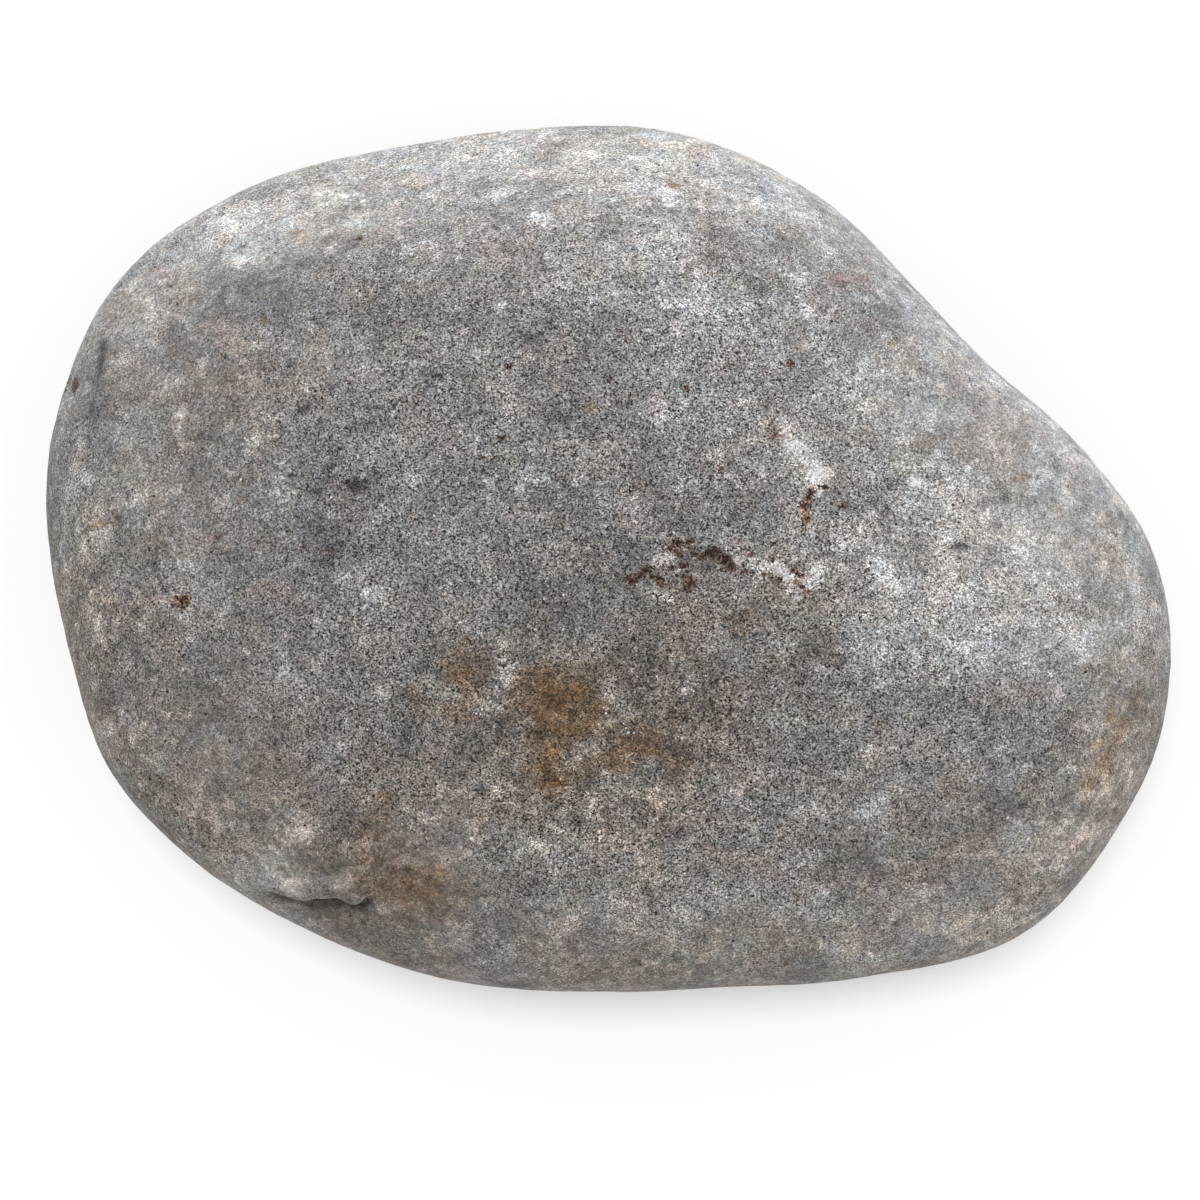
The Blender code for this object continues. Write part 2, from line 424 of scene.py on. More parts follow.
@dataclass(frozen=True)
class Relief:
    """What water, sand and other stones have done to the surface, finer than its form."""

    undulation: float = 0.10
    undulation_length: float = 9.0
    undulation_shift: float = 5.0
    ripple: float = 0.035
    ripple_length: float = 3.2
    ripple_shift: float = 9.0
    peck: float = 0.05
    peck_length: float = 1.7
    peck_shift: float = 23.0
    pits: tuple = (
        Pit(3.3, -2.0, 0.7, 0.20),
        Pit(5.3, -2.0, 0.5, 0.15),
        Pit(7.1, 0.5, 0.8, 0.25),
        Pit(8.0, -1.6, 0.7, 0.20),
        Pit(7.2, -2.7, 0.6, 0.25),
        Pit(9.7, -0.7, 0.8, 0.22),
        Pit(11.5, -1.1, 0.5, 0.12),
        Pit(16.5, -1.8, 0.7, 0.18),
        Pit(17.2, 3.6, 0.7, 0.22),
        Pit(17.9, 5.3, 0.6, 0.18),
        Pit(13.6, 10.4, 0.6, 0.15),
        Pit(-36.8, -4.6, 0.8, 0.30),
        Pit(-25.4, 12.2, 0.9, 0.18),
        Pit(-21.9, 5.5, 0.9, 0.15),
        Pit(-47.3, 15.0, 1.3, 0.45),
        Pit(-45.6, 14.6, 0.8, 0.25),
        Pit(-20.0, -8.0, 1.2, 0.30, False),
        Pit(14.0, 12.0, 1.0, 0.25, False),
        Pit(24.0, -15.0, 0.9, 0.30, False),
        Pit(-31.0, 14.0, 1.1, 0.25, False),
    )

    def heights(self, points: np.ndarray) -> np.ndarray:
        """The undulation, ripple and pecked dimples together.

        Args:
            points: Places on the form.

        Returns:
            A height for each point, in millimetres.
        """
        undulation = self.undulation * noise_at(points, self.undulation_length, 1, self.undulation_shift)
        ripple = self.ripple * noise_at(points, self.ripple_length, 2, self.ripple_shift)
        dimples = np.abs(noise_at(points, self.peck_length, 1, self.peck_shift))
        return undulation + ripple - self.peck * (1 - dimples) ** 4

    def pit_depths(self, points: np.ndarray, middle: float) -> np.ndarray:
        """How deep the small pits sink each point.

        Args:
            points: Places on the finished stone, in millimetres.
            middle: The height that parts the upper side from the underside.

        Returns:
            A depth for each point, in millimetres.
        """
        depths = np.zeros(len(points))
        for pit in self.pits:
            away = np.hypot(points[:, 0] - pit.x, points[:, 1] - pit.y) / pit.radius
            on_side = (points[:, 2] > middle) == pit.top
            depths += np.where(on_side, pit.depth * np.exp(-away * away), 0.0)
        return depths


# ---------------------------------------------------------------------------------------------------------
# Marks: mineral stains, crusts and bruises, and painted highlight and shade, painted as attributes
# ---------------------------------------------------------------------------------------------------------


class MarkKind(Enum):
    """What a mark is made of, and for paler, brown and smoky marks also the painted highlight and shade they
    carry. The value is the attribute's name.
    """

    # Paler stone, partly rubbed and partly painted highlight on rims and faces that turn to the light.
    PALE = "pale_and_highlight"
    # Brown silt, and the painted shadow under the ledge's lip.
    UMBER = "umber_silt_and_shade"
    OCHRE = "ochre_stain"
    BLUSH = "pink_mineral"
    # Smoky dark grey: veins and zones, partly painted shade, and the painted shadow under the ledge's lip.
    SMOKE = "smoky_mineral_and_shade"
    FROST = "white_crust"
    RUST = "rusty_pit"
    SILT = "fine_silt"


class Mark(NamedTuple):
    """An uneven oval in plan: its kind, middle, half length, half width, turn in degrees and strength."""

    kind: MarkKind
    x: float
    y: float
    half_length: float
    half_width: float
    turn: float
    strength: float
    top: bool = True


def marks_of(kind: MarkKind, *places: tuple, top: bool = True) -> tuple[Mark, ...]:
    """Marks of one kind, on one side.

    Args:
        kind: What they are made of.
        *places: The middle, half length, half width, turn and strength of each.
        top: Whether they are on the upper side.

    Returns:
        The marks, in order.
    """
    return tuple(Mark(kind, *place, top) for place in places)


# Paler zones: partly stone rubbed paler, partly painted highlight on rims and faces that turn to the light.
PALE_MARKS = marks_of(
    MarkKind.PALE,
    # The back left face.
    (-5.6, 21.5, 2.6, 2.2, 30, 0.14), (-27.5, 25.0, 3.4, 2.3, 28, 0.19),
    (-32.5, 8.7, 2.4, 3.0, 0, 0.11), (-6.3, 6.9, 1.8, 2.5, -22, 0.25), (-19.2, 2.7, 2.5, 1.8, 40, 0.14),
    # The back right face.
    (35.0, 1.0, 13.0, 9.0, -30, 0.22), (25.1, 14.2, 5.0, 3.5, -45, 0.22),
    (25.7, 11.4, 6.0, 4.0, -35, 0.21), (33.0, 10.2, 3.6, 1.9, -38, 0.14),
    (19.7, 17.0, 6.0, 3.5, -30, 0.14), (2.0, 21.3, 1.9, 3.7, -18, 0.22),
    (8.6, 22.7, 7.8, 2.2, -9, 0.13), (4.5, 25.5, 2.2, 5.0, 30, 0.22), (10.0, 20.0, 5.0, 2.0, -45, 0.22),
    (15.1, 23.2, 2.8, 2.0, -40, 0.27), (5.3, 11.3, 2.7, 1.8, 24, 0.17),
    (17.2, 2.0, 3.7, 2.0, -16, 0.17), (32.2, 2.6, 5.9, 3.2, -12, 0.22),
    (22.4, 19.9, 2.8, 1.9, -44, 0.15), (23.6, 6.0, 1.9, 2.6, 18, 0.13),
    # The front left face.
    (-35.5, -21.0, 4.0, 3.0, 0, 0.12), (-34.5, -4.5, 4.0, 3.0, 0, 0.13),
    (-16.1, -1.6, 2.3, 1.7, 30, 0.11), (-36.3, -2.7, 2.6, 2.2, -42, 0.28),
    (-33.1, -5.8, 2.6, 1.9, -36, 0.22), (-36.2, -22.9, 2.4, 1.7, -38, 0.11),
    (-10.8, -9.2, 1.9, 3.3, 12, 0.10), (-3.0, -28.0, 5.0, 2.4, 0, 0.10),
    # The front right face.
    (26.5, -4.5, 5.5, 2.0, -52, 0.40), (22.3, -7.9, 4.8, 3.1, -24, 0.25),
    (18.4, -11.1, 2.6, 1.7, -35, 0.13), (27.6, -9.7, 4.9, 2.9, -12, 0.30),
    (35.0, -17.7, 3.3, 2.8, -50, 0.28), (15.1, -14.4, 2.7, 2.0, 28, 0.24),
    (32.5, -3.7, 3.0, 2.0, 0, 0.15), (23.1, -21.3, 3.2, 2.2, 20, 0.18),
    (6.4, -27.2, 3.3, 2.3, -14, 0.24), (1.0, -23.9, 2.8, 1.8, 20, 0.14),
    (20.4, -29.8, 4.0, 3.3, 12, 0.31), (36.6, -6.7, 1.9, 2.5, -15, 0.16),
    # The ledge, and the skin by it.
    (-26.8, -28.9, 2.4, 0.8, -8, 0.22), (-28.5, -27.8, 4.2, 1.6, -10, 0.20),
    (-30.5, -27.8, 2.6, 1.2, -10, 0.30), (-21.4, -26.0, 1.6, 1.0, 20, 0.30),
    (-22.6, -28.8, 1.0, 0.8, 0, 0.30), (-27.2, -24.0, 2.6, 2.0, -30, 0.26),
    (-30.5, -25.6, 5.5, 1.8, -35, 0.18),
    # The left rim.
    (-41.0, 23.3, 2.7, 3.8, 34, 0.30), (-45.0, -6.0, 2.0, 6.0, 8, 0.20),
    (-42.0, -10.0, 3.0, 8.0, 10, 0.14), (-38.5, 4.5, 4.0, 2.0, 10, 0.16),
    (-45.9, 5.1, 2.2, 4.4, -4, 0.27), (-42.6, -15.6, 3.4, 2.6, -55, 0.16),
    (-42.7, 7.3, 3.2, 6.1, 4, 0.28),
    # The right rim.
    (39.0, -8.4, 5.5, 2.5, 0, 0.20), (45.0, -5.0, 2.5, 10.0, 0, 0.28), (40.0, 7.0, 3.0, 4.0, 0, 0.14),
    (42.2, -17.0, 1.6, 5.0, -20, 0.14), (39.9, -26.0, 1.9, 3.4, -22, 0.40),
    (38.5, -26.8, 4.0, 4.5, 30, 0.34), (43.8, -20.5, 1.8, 5.0, -20, 0.26),
    # The back rim, with painted highlight where the light falls on it.
    (-34.8, 28.3, 6.0, 3.0, 40, 0.34), (-24.6, 33.2, 7.0, 2.6, 20, 0.40),
    (-12.0, 35.4, 8.0, 3.0, 8, 0.34), (2.0, 35.0, 9.0, 4.0, 0, 0.22), (12.4, 28.5, 4.0, 5.0, 20, 0.20),
    (-25.6, 32.6, 6.5, 2.8, 18, 0.90), (-13.0, 34.0, 5.0, 2.2, 8, 0.24),
    (-36.8, 27.5, 2.6, 2.0, 40, 0.40), (8.0, 32.2, 4.5, 2.0, 0, 0.12),
    (15.1, 32.1, 2.7, 1.8, -27, 0.54), (-29.2, 28.3, 5.6, 2.2, 14, 0.10),
    (11.2, 32.3, 3.8, 1.9, -24, 0.22), (18.6, 28.3, 2.4, 1.7, -48, 0.24),
    # The front rim.
    (32.7, -31.5, 3.5, 2.0, 20, 0.20), (1.0, -32.3, 6.0, 2.2, 0, 0.24),
    (9.0, -31.0, 4.0, 2.4, -10, 0.20), (28.0, -31.5, 6.5, 2.4, 8, 0.20),
    (-12.2, -33.5, 3.0, 1.8, 0, 0.26), (6.5, -33.2, 2.9, 2.7, 15, 0.18),
    (21.3, -33.5, 3.7, 3.0, 10, 0.27), (36.6, -31.6, 2.4, 2.0, 20, 0.20),
)

# Darker, bluish grey zones, partly painted shade, and small dark veins.
SMOKE_MARKS = marks_of(
    MarkKind.SMOKE,
    # The back left face.
    (-21.5, 6.5, 3.6, 4.4, 20, 0.26), (-26.0, 22.8, 7.5, 3.6, 5, 0.38),
    (-38.0, 22.5, 4.0, 3.0, 45, 0.20), (-12.7, 4.2, 3.3, 2.9, -15, 0.14),
    (-2.4, 16.6, 4.9, 5.4, -10, 0.23), (-3.2, 19.8, 2.6, 1.8, -26, 0.21),
    (-28.4, 14.1, 2.6, 3.5, 12, 0.28), (-16.1, 14.6, 2.6, 1.8, 35, 0.18),
    (-11.4, 6.3, 2.7, 2.4, 24, 0.42), (-24.2, 1.3, 3.0, 3.1, 20, 0.50),
    (-13.9, 20.1, 9.2, 3.7, 3, 0.34), (-36.1, 18.2, 4.4, 3.2, 15, 0.20),
    (-13.4, 9.3, 3.9, 2.5, 12, 0.14), (-2.2, 2.6, 3.3, 2.2, -18, 0.26),
    (-25.7, 12.4, 0.9, 0.35, 35, 1.0), (-21.4, 5.6, 1.1, 0.7, 0, 0.9), (-24.9, 5.1, 0.6, 0.3, -20, 0.8),
    (-6.1, 18.0, 1.0, 0.6, 0, 0.5),
    # The back right face.
    (9.1, 3.0, 4.0, 2.8, 12, 0.22), (24.5, 21.0, 5.0, 2.0, -50, 0.12),
    (33.5, 13.7, 4.0, 2.4, -40, 0.14), (1.1, 14.7, 1.9, 2.5, 18, 0.18),
    (13.2, 10.0, 4.0, 2.4, -30, 0.14), (14.2, 9.6, 2.8, 3.2, 30, 0.22), (9.7, 6.1, 2.5, 1.7, -25, 0.18),
    (30.2, 0.4, 0.9, 0.5, 10, 0.8),
    # The front left face.
    (-15.0, -17.0, 8.0, 5.5, 0, 0.20), (-24.0, -15.0, 4.0, 3.0, 0, 0.12),
    (-4.0, -13.0, 5.0, 4.0, 0, 0.14), (-33.7, -11.9, 4.0, 3.0, 0, 0.14),
    (-25.8, -1.8, 4.1, 2.1, -12, 0.34), (-13.8, -8.0, 6.0, 3.6, 0, 0.15),
    (-6.4, -4.2, 4.8, 3.9, 14, 0.21), (-7.3, -1.7, 2.4, 1.7, -30, 0.23),
    (-29.8, -13.5, 3.5, 3.0, 0, 0.16), (-11.5, -10.8, 5.5, 2.6, 0, 0.28),
    (-9.3, -14.6, 3.8, 2.3, 12, 0.26), (-27.5, -16.5, 3.0, 3.6, 0, 0.16),
    (-3.4, -22.9, 2.5, 1.7, -20, 0.21),
    # The front right face.
    (2.5, -3.5, 14.0, 4.4, 0, 0.32), (10.5, -13.0, 6.5, 5.0, 0, 0.18), (25.7, -19.0, 4.8, 2.0, 6, 0.32),
    (17.8, -8.8, 3.6, 1.8, 25, 0.34), (12.9, -10.3, 3.4, 1.8, -15, 0.30),
    (2.5, -14.5, 9.0, 4.5, -5, 0.22), (29.1, -23.5, 4.6, 3.4, 20, 0.20),
    (8.2, -1.8, 5.7, 1.8, -6, 0.14), (2.5, -10.4, 3.4, 2.4, -8, 0.42), (6.5, -14.0, 3.0, 3.5, 0, 0.23),
    (7.2, -19.0, 4.4, 2.3, 8, 0.20), (31.7, -6.0, 2.5, 2.0, -28, 0.42),
    (35.4, -22.9, 2.6, 2.0, -35, 0.31), (9.9, -23.5, 2.6, 2.9, 10, 0.28),
    (1.1, -2.1, 2.6, 1.6, 25, 0.16), (35.4, -2.4, 2.7, 1.8, 22, 0.18),
    (8.4, -15.1, 4.1, 2.1, -10, 0.16), (31.9, -18.8, 2.8, 1.9, -24, 0.20),
    # The ledge, and the skin by it.
    (-18.2, -21.4, 7.6, 4.9, -6, 0.21), (-20.5, -26.5, 6.5, 3.4, 0, 0.20),
    (-20.0, -28.5, 6.5, 2.4, 0, 0.16),
    # The left rim.
    (-46.5, 14.0, 2.0, 3.6, 0, 0.30), (-44.8, 11.5, 1.3, 3.4, 0, 0.42),
    (-44.6, 17.6, 0.5, 1.6, 0, 0.75),
    # The right rim.
    (46.5, -12.5, 2.2, 6.0, -15, 0.14),
    # The back rim.
    (14.7, 27.6, 2.5, 1.7, -30, 0.37), (-32.1, 27.0, 0.8, 0.3, 20, 0.8),
    # The front rim.
    (-16.5, -35.7, 3.5, 1.8, 3, 0.42), (-19.9, -35.9, 2.3, 1.3, -6, 0.23),
    (14.0, -36.0, 2.4, 1.5, 8, 0.18),
)

# Brown silt held in the skin.
UMBER_MARKS = marks_of(
    MarkKind.UMBER,
    # The back left face.
    (-36.0, 10.0, 10.0, 10.0, 0, 0.26), (-32.3, 14.0, 7.0, 7.0, 0, 0.20),
    # The back right face.
    (14.5, 10.0, 1.1, 1.8, 0, 0.50),
    # The front left face.
    (-3.0, -14.5, 9.5, 6.5, 0, 0.42), (-8.5, -21.0, 12.0, 4.0, 0, 0.48),
    (-2.3, -15.5, 6.0, 3.5, 0, 0.35), (-36.4, -23.0, 2.9, 2.1, -40, 0.50),
    (-5.3, -5.0, 3.5, 3.0, 0, 0.34), (-2.0, -15.5, 9.0, 4.5, 0, 0.40),
    (-35.0, -25.5, 3.0, 3.6, 40, 0.50),
    # The front right face.
    (3.0, -13.5, 15.0, 9.0, -5, 0.40), (8.0, -2.5, 9.0, 3.5, 0, 0.30), (21.5, -17.5, 4.0, 3.0, 0, 0.32),
    (36.0, -26.0, 12.0, 8.0, 30, 0.45), (11.5, -6.0, 3.0, 1.6, 0, 0.45),
    (3.7, -25.5, 12.0, 4.0, 0, 0.38), (14.7, -8.0, 3.0, 4.0, 0, 0.32),
    # The ledge, and the skin by it.
    (-28.0, -24.5, 14.0, 6.0, -32, 0.45), (-20.5, -28.5, 7.0, 3.5, -15, 0.45),
    (-18.0, -27.6, 4.4, 2.8, -15, 0.90),
    # The left rim.
    (-43.5, -8.0, 6.0, 14.0, 8, 0.48), (-39.3, 23.6, 4.0, 2.0, 0, 0.36),
    # The right rim.
    (44.5, -14.0, 5.0, 10.0, 0, 0.42), (43.7, 0.0, 1.5, 4.0, 0, 0.36),
    # The back rim.
    (-20.0, 34.0, 14.0, 3.0, 15, 0.30),
    # The front rim.
    (0.0, -34.5, 24.0, 5.0, 0, 0.40), (0.0, -36.8, 5.0, 1.4, 0, 0.8), (34.5, -32.0, 4.0, 2.6, 15, 0.50),
)

# Smooth skin where single grains hardly show, thickest on the front.
SILT_MARKS = marks_of(
    MarkKind.SILT,
    (-24.0, -28.0, 17.0, 8.0, -32, 0.90), (0.0, -36.0, 22.0, 6.0, 0, 0.60),
    (34.0, -26.0, 14.0, 8.0, 30, 0.60), (-40.0, 6.0, 11.0, 20.0, 0, 0.50),
    (-30.0, 25.0, 15.0, 9.0, 30, 0.52), (18.0, 28.0, 15.0, 7.0, -38, 0.50),
    (40.0, 6.0, 8.0, 14.0, 0, 0.72), (31.0, -2.0, 10.0, 8.0, -30, 0.25),
    (44.0, -4.0, 4.0, 14.0, 0, 0.50), (44.0, -20.0, 6.0, 10.0, -20, 0.50),
    (0.0, 30.0, 22.0, 6.0, 0, 0.25), (29.0, 13.0, 9.0, 6.0, -40, 0.55),
    (38.0, 4.0, 6.0, 8.0, -20, 0.40),
)

# Iron stains.
OCHRE_MARKS = marks_of(
    MarkKind.OCHRE,
    # The back left face.
    (-1.3, 18.3, 2.4, 0.8, 5, 0.18), (-1.2, 12.5, 1.2, 0.8, 0, 0.35), (-29.8, 20.1, 0.6, 0.5, 0, 0.50),
    (-16.5, 3.1, 1.8, 1.4, -30, 0.20),
    # The back right face.
    (27.7, 9.5, 1.6, 1.0, 30, 0.35), (36.0, 6.2, 1.1, 0.8, 0, 0.45), (14.4, 10.4, 0.5, 1.4, -10, 0.30),
    (25.1, 18.4, 1.0, 0.7, 0, 0.35), (3.0, 5.5, 0.8, 0.7, 0, 0.40),
    # The front left face.
    (-3.2, -11.6, 3.7, 3.1, -20, 0.53), (-5.3, -13.2, 1.4, 1.6, 0, 0.46),
    (-3.0, -12.6, 2.0, 1.7, 0, 0.60), (-7.0, -12.0, 1.3, 1.2, 0, 0.42),
    (-8.5, -14.3, 0.9, 0.7, 0, 0.40), (-5.4, -10.4, 1.3, 1.1, 20, 0.36),
    (-0.9, -13.4, 1.3, 1.0, -20, 0.46), (-3.6, -15.2, 2.6, 1.7, 0, 0.52),
    (-4.9, -17.6, 1.6, 3.8, 2, 0.62), (-4.2, -19.8, 0.9, 0.7, 10, 0.70),
    (-1.4, -18.7, 2.6, 1.0, 12, 0.42), (-11.9, -10.3, 3.0, 2.1, 15, 0.52),
    (-13.2, -11.0, 1.1, 1.0, 0, 0.15), (-15.9, -12.9, 1.6, 1.9, 10, 0.42),
    (-12.2, -13.9, 1.4, 1.2, 30, 0.46),
    # The front right face.
    (3.2, -16.3, 3.7, 2.4, -12, 0.50), (4.0, -17.0, 1.0, 0.7, 0, 0.45),
    (11.7, -5.8, 2.4, 1.4, 10, 0.35), (37.7, -5.0, 0.9, 0.7, 0, 0.35), (23.8, -14.6, 0.5, 0.4, 0, 0.60),
    # The ledge, and the skin by it.
    (-18.6, -27.6, 3.6, 2.3, -8, 0.36), (-16.6, -28.7, 2.4, 1.4, -10, 0.24),
    (-14.4, -30.0, 2.8, 1.8, -12, 0.34), (-18.5, -21.1, 1.4, 1.6, 30, 0.40),
    (-20.3, -23.6, 2.3, 1.6, 25, 0.34), (-25.9, -21.8, 1.2, 0.8, 0, 0.25),
    # The left rim.
    (-44.2, 2.4, 1.3, 0.35, 12, 0.60),
    # The right rim.
    (43.6, -16.5, 5.0, 1.5, 62, 0.44),
    # The back rim.
    (-26.9, 28.0, 1.0, 0.7, 0, 0.40), (6.1, 32.0, 0.5, 0.4, 0, 0.70),
)

# Pinkish grains.
BLUSH_MARKS = marks_of(
    MarkKind.BLUSH,
    (20.1, 23.5, 0.5, 0.9, 0, 0.9), (22.0, 23.3, 1.6, 1.0, 0, 0.4), (22.6, 24.1, 0.4, 0.4, 0, 0.8),
    (22.4, 19.3, 2.0, 1.0, -20, 0.5), (8.1, -26.0, 1.8, 1.2, 0, 0.4), (8.4, 35.8, 1.6, 1.0, 0, 0.5),
    (-39.9, 25.2, 1.2, 1.6, 30, 0.4), (36.4, -12.0, 0.5, 0.5, 0, 0.9), (-33.7, 1.3, 0.6, 0.5, 0, 0.8),
    (-31.5, 4.5, 0.5, 0.5, 0, 0.8), (-24.3, 0.1, 1.3, 0.4, -10, 0.8), (-27.8, -3.5, 2.4, 1.4, 0, 0.35),
    (-33.8, 18.9, 1.4, 1.0, 0, 0.45), (2.1, 27.1, 0.8, 0.6, 0, 0.50), (30.1, 14.3, 0.9, 0.7, 0, 0.45),
    (11.3, 0.6, 1.0, 0.8, 0, 0.45),
)

# White crust in a thin vein, and bruises.
FROST_MARKS = marks_of(
    MarkKind.FROST,
    # The white branch of the vein.
    (15.5, 10.7, 1.1, 0.8, -50, 0.55), (16.5, 9.2, 1.4, 1.1, -60, 0.66),
    (17.6, 7.3, 1.4, 1.1, -60, 0.72), (18.2, 6.3, 1.0, 0.9, 0, 0.75), (17.9, 5.2, 0.7, 0.5, 0, 0.35),
    (13.6, 6.4, 1.3, 0.5, 10, 0.35),
    # Along the vein, and in the pits by it.
    (14.9, -1.5, 1.5, 0.6, -22, 0.62), (17.8, -2.1, 0.7, 1.3, 0, 0.55),
    (16.2, -2.7, 1.3, 0.9, -20, 0.50), (16.6, -3.9, 0.9, 0.3, -8, 0.45),
    (12.9, -2.6, 0.7, 0.5, 30, 0.60), (12.0, -0.8, 1.6, 0.5, -15, 0.50), (5.7, -0.6, 1.0, 0.6, 0, 0.50),
    (6.3, -1.8, 0.8, 0.4, 0, 0.50), (4.3, -1.0, 0.8, 0.5, 20, 0.40), (5.5, -4.2, 1.0, 0.5, 0, 0.35),
    # Bruises elsewhere.
    (23.2, -1.5, 0.6, 1.2, 10, 0.55), (-30.6, 9.2, 0.9, 0.7, 0, 0.45), (-16.8, 26.2, 1.2, 0.9, 0, 0.45),
    (-24.0, 26.2, 1.1, 0.8, 20, 0.40), (-32.4, 25.6, 1.1, 0.9, 0, 0.40),
    (-15.1, -22.6, 1.0, 0.8, 0, 0.45), (-5.2, -3.7, 0.9, 0.7, 0, 0.25),
    (17.4, -26.5, 1.0, 0.8, 0, 0.45), (27.0, 5.8, 1.0, 0.5, -20, 0.80), (22.7, 3.0, 0.6, 0.5, 0, 0.55),
    (24.2, -2.2, 2.0, 0.6, -52, 0.60), (-28.2, 6.0, 0.8, 0.7, 0, 0.50),
    (5.6, 30.9, 1.4, 0.9, -20, 0.50), (-5.5, 29.1, 1.2, 0.9, 0, 0.45), (-8.9, 21.1, 0.9, 0.5, 30, 0.50),
    (5.2, 21.8, 2.2, 1.2, -30, 0.35), (-19.7, -4.1, 1.6, 1.0, -10, 0.55),
    (-8.6, -10.3, 1.2, 1.7, 10, 0.50), (-10.4, -13.2, 1.7, 1.0, -20, 0.38),
    (1.0, -14.3, 1.5, 0.7, -35, 0.42), (-6.2, -25.3, 1.2, 0.8, 0, 0.40),
    (7.2, -11.4, 1.0, 0.8, 30, 0.42), (17.7, -22.1, 1.0, 0.8, 0, 0.50),
    (23.1, -21.7, 1.6, 1.0, 20, 0.45), (27.3, -29.1, 0.8, 0.7, 0, 0.55),
    (-26.3, -24.2, 2.0, 1.4, -30, 0.45),
)

# Rusty haloes with nearly black grains, in pits.
RUST_MARKS = marks_of(
    MarkKind.RUST,
    # The rusty pits at the left end of the vein.
    (2.2, -2.5, 0.5, 0.30, 35, 0.85), (3.0, -1.9, 0.6, 0.38, 30, 0.90),
    (3.4, -1.3, 0.35, 0.35, 0, 0.80), (3.9, -2.2, 0.20, 0.20, 0, 0.90),
    (4.5, -2.4, 0.55, 0.45, -30, 0.70), (6.0, 0.5, 0.50, 0.75, -10, 0.80),
    (6.3, -0.2, 0.40, 0.30, -40, 0.90), (7.0, 0.8, 0.28, 0.22, 20, 1.0),
    (7.3, 0.1, 0.8, 0.5, -45, 0.42), (7.4, -0.2, 0.26, 0.20, -20, 0.90),
    (8.1, -0.5, 0.5, 0.35, 0, 0.70), (9.1, 0.0, 0.6, 0.35, 10, 0.90), (9.3, -0.5, 0.7, 0.4, -20, 0.50),
    (9.9, -1.0, 0.55, 0.65, -30, 0.95), (10.6, -1.3, 0.45, 0.35, -40, 0.75),
    (6.4, -1.2, 0.26, 0.20, 30, 1.0), (5.6, -1.3, 0.18, 0.16, 0, 1.0), (6.8, -1.2, 0.18, 0.18, 0, 0.90),
    (7.2, -2.4, 0.60, 0.55, 40, 0.95), (6.9, -3.1, 0.45, 0.25, 0, 0.80),
    # Along the vein.
    (11.8, -1.7, 0.24, 0.18, 0, 0.95), (12.5, -1.8, 0.20, 0.16, 0, 0.80),
    (12.4, -0.3, 0.36, 0.18, 30, 0.90), (13.4, -1.9, 0.26, 0.20, -20, 1.0),
    (14.1, -2.2, 0.24, 0.18, 0, 1.0), (14.8, -2.4, 0.24, 0.18, 0, 1.0),
    (14.2, -0.7, 0.20, 0.18, 0, 0.80), (15.9, -1.6, 0.24, 0.22, 0, 0.90),
    (16.6, -2.0, 0.36, 0.22, -20, 0.80), (16.2, -2.6, 0.22, 0.18, 0, 0.90),
    (16.7, -3.1, 0.34, 0.20, -30, 1.0), (17.2, -3.4, 0.22, 0.20, 0, 1.0),
    (16.4, -2.2, 1.2, 0.8, -25, 0.22),
    # The branch that runs to the back.
    (17.5, 5.3, 0.30, 0.26, 0, 0.85), (17.4, 4.6, 0.45, 0.60, 0, 0.55), (18.6, 5.5, 0.30, 0.18, 0, 1.0),
    (17.0, 3.4, 0.42, 0.55, -15, 0.75), (17.0, 2.7, 0.34, 0.40, 0, 1.0),
    (16.8, 1.8, 0.30, 0.45, 0, 0.50), (20.2, 3.9, 0.18, 0.28, 10, 1.0),
    (20.4, 3.4, 0.16, 0.26, 0, 0.85), (15.2, 2.0, 0.26, 0.18, 0, 0.70),
    # Single pits elsewhere.
    (9.9, 7.0, 0.36, 0.26, 20, 0.65), (10.6, 7.4, 0.30, 0.20, 20, 0.50),
    (14.3, 10.0, 0.36, 0.24, 0, 0.45), (-21.4, 27.5, 0.26, 0.22, 0, 0.90),
    (-21.4, 21.3, 0.22, 0.22, 0, 0.50), (-8.3, 15.9, 0.26, 0.20, 0, 0.80),
    (0.4, 14.7, 0.24, 0.20, 0, 0.80), (-2.9, 9.1, 0.24, 0.22, 0, 1.0),
    (-10.5, 6.4, 0.28, 0.20, 0, 0.80), (-8.7, 9.4, 0.24, 0.20, 0, 0.80),
    (-10.6, 8.0, 0.36, 0.26, 0, 0.60), (2.5, 25.2, 0.28, 0.24, 0, 0.65),
    (7.0, 26.5, 0.28, 0.22, 0, 0.60), (8.7, 24.2, 0.24, 0.20, 0, 0.55),
    (15.8, 16.3, 0.35, 0.35, 0, 0.80), (6.8, 13.8, 0.3, 0.3, 0, 0.60),
    (-36.6, -4.3, 0.6, 0.9, -20, 0.60), (-47.3, 14.9, 0.36, 0.8, 0, 0.70),
)

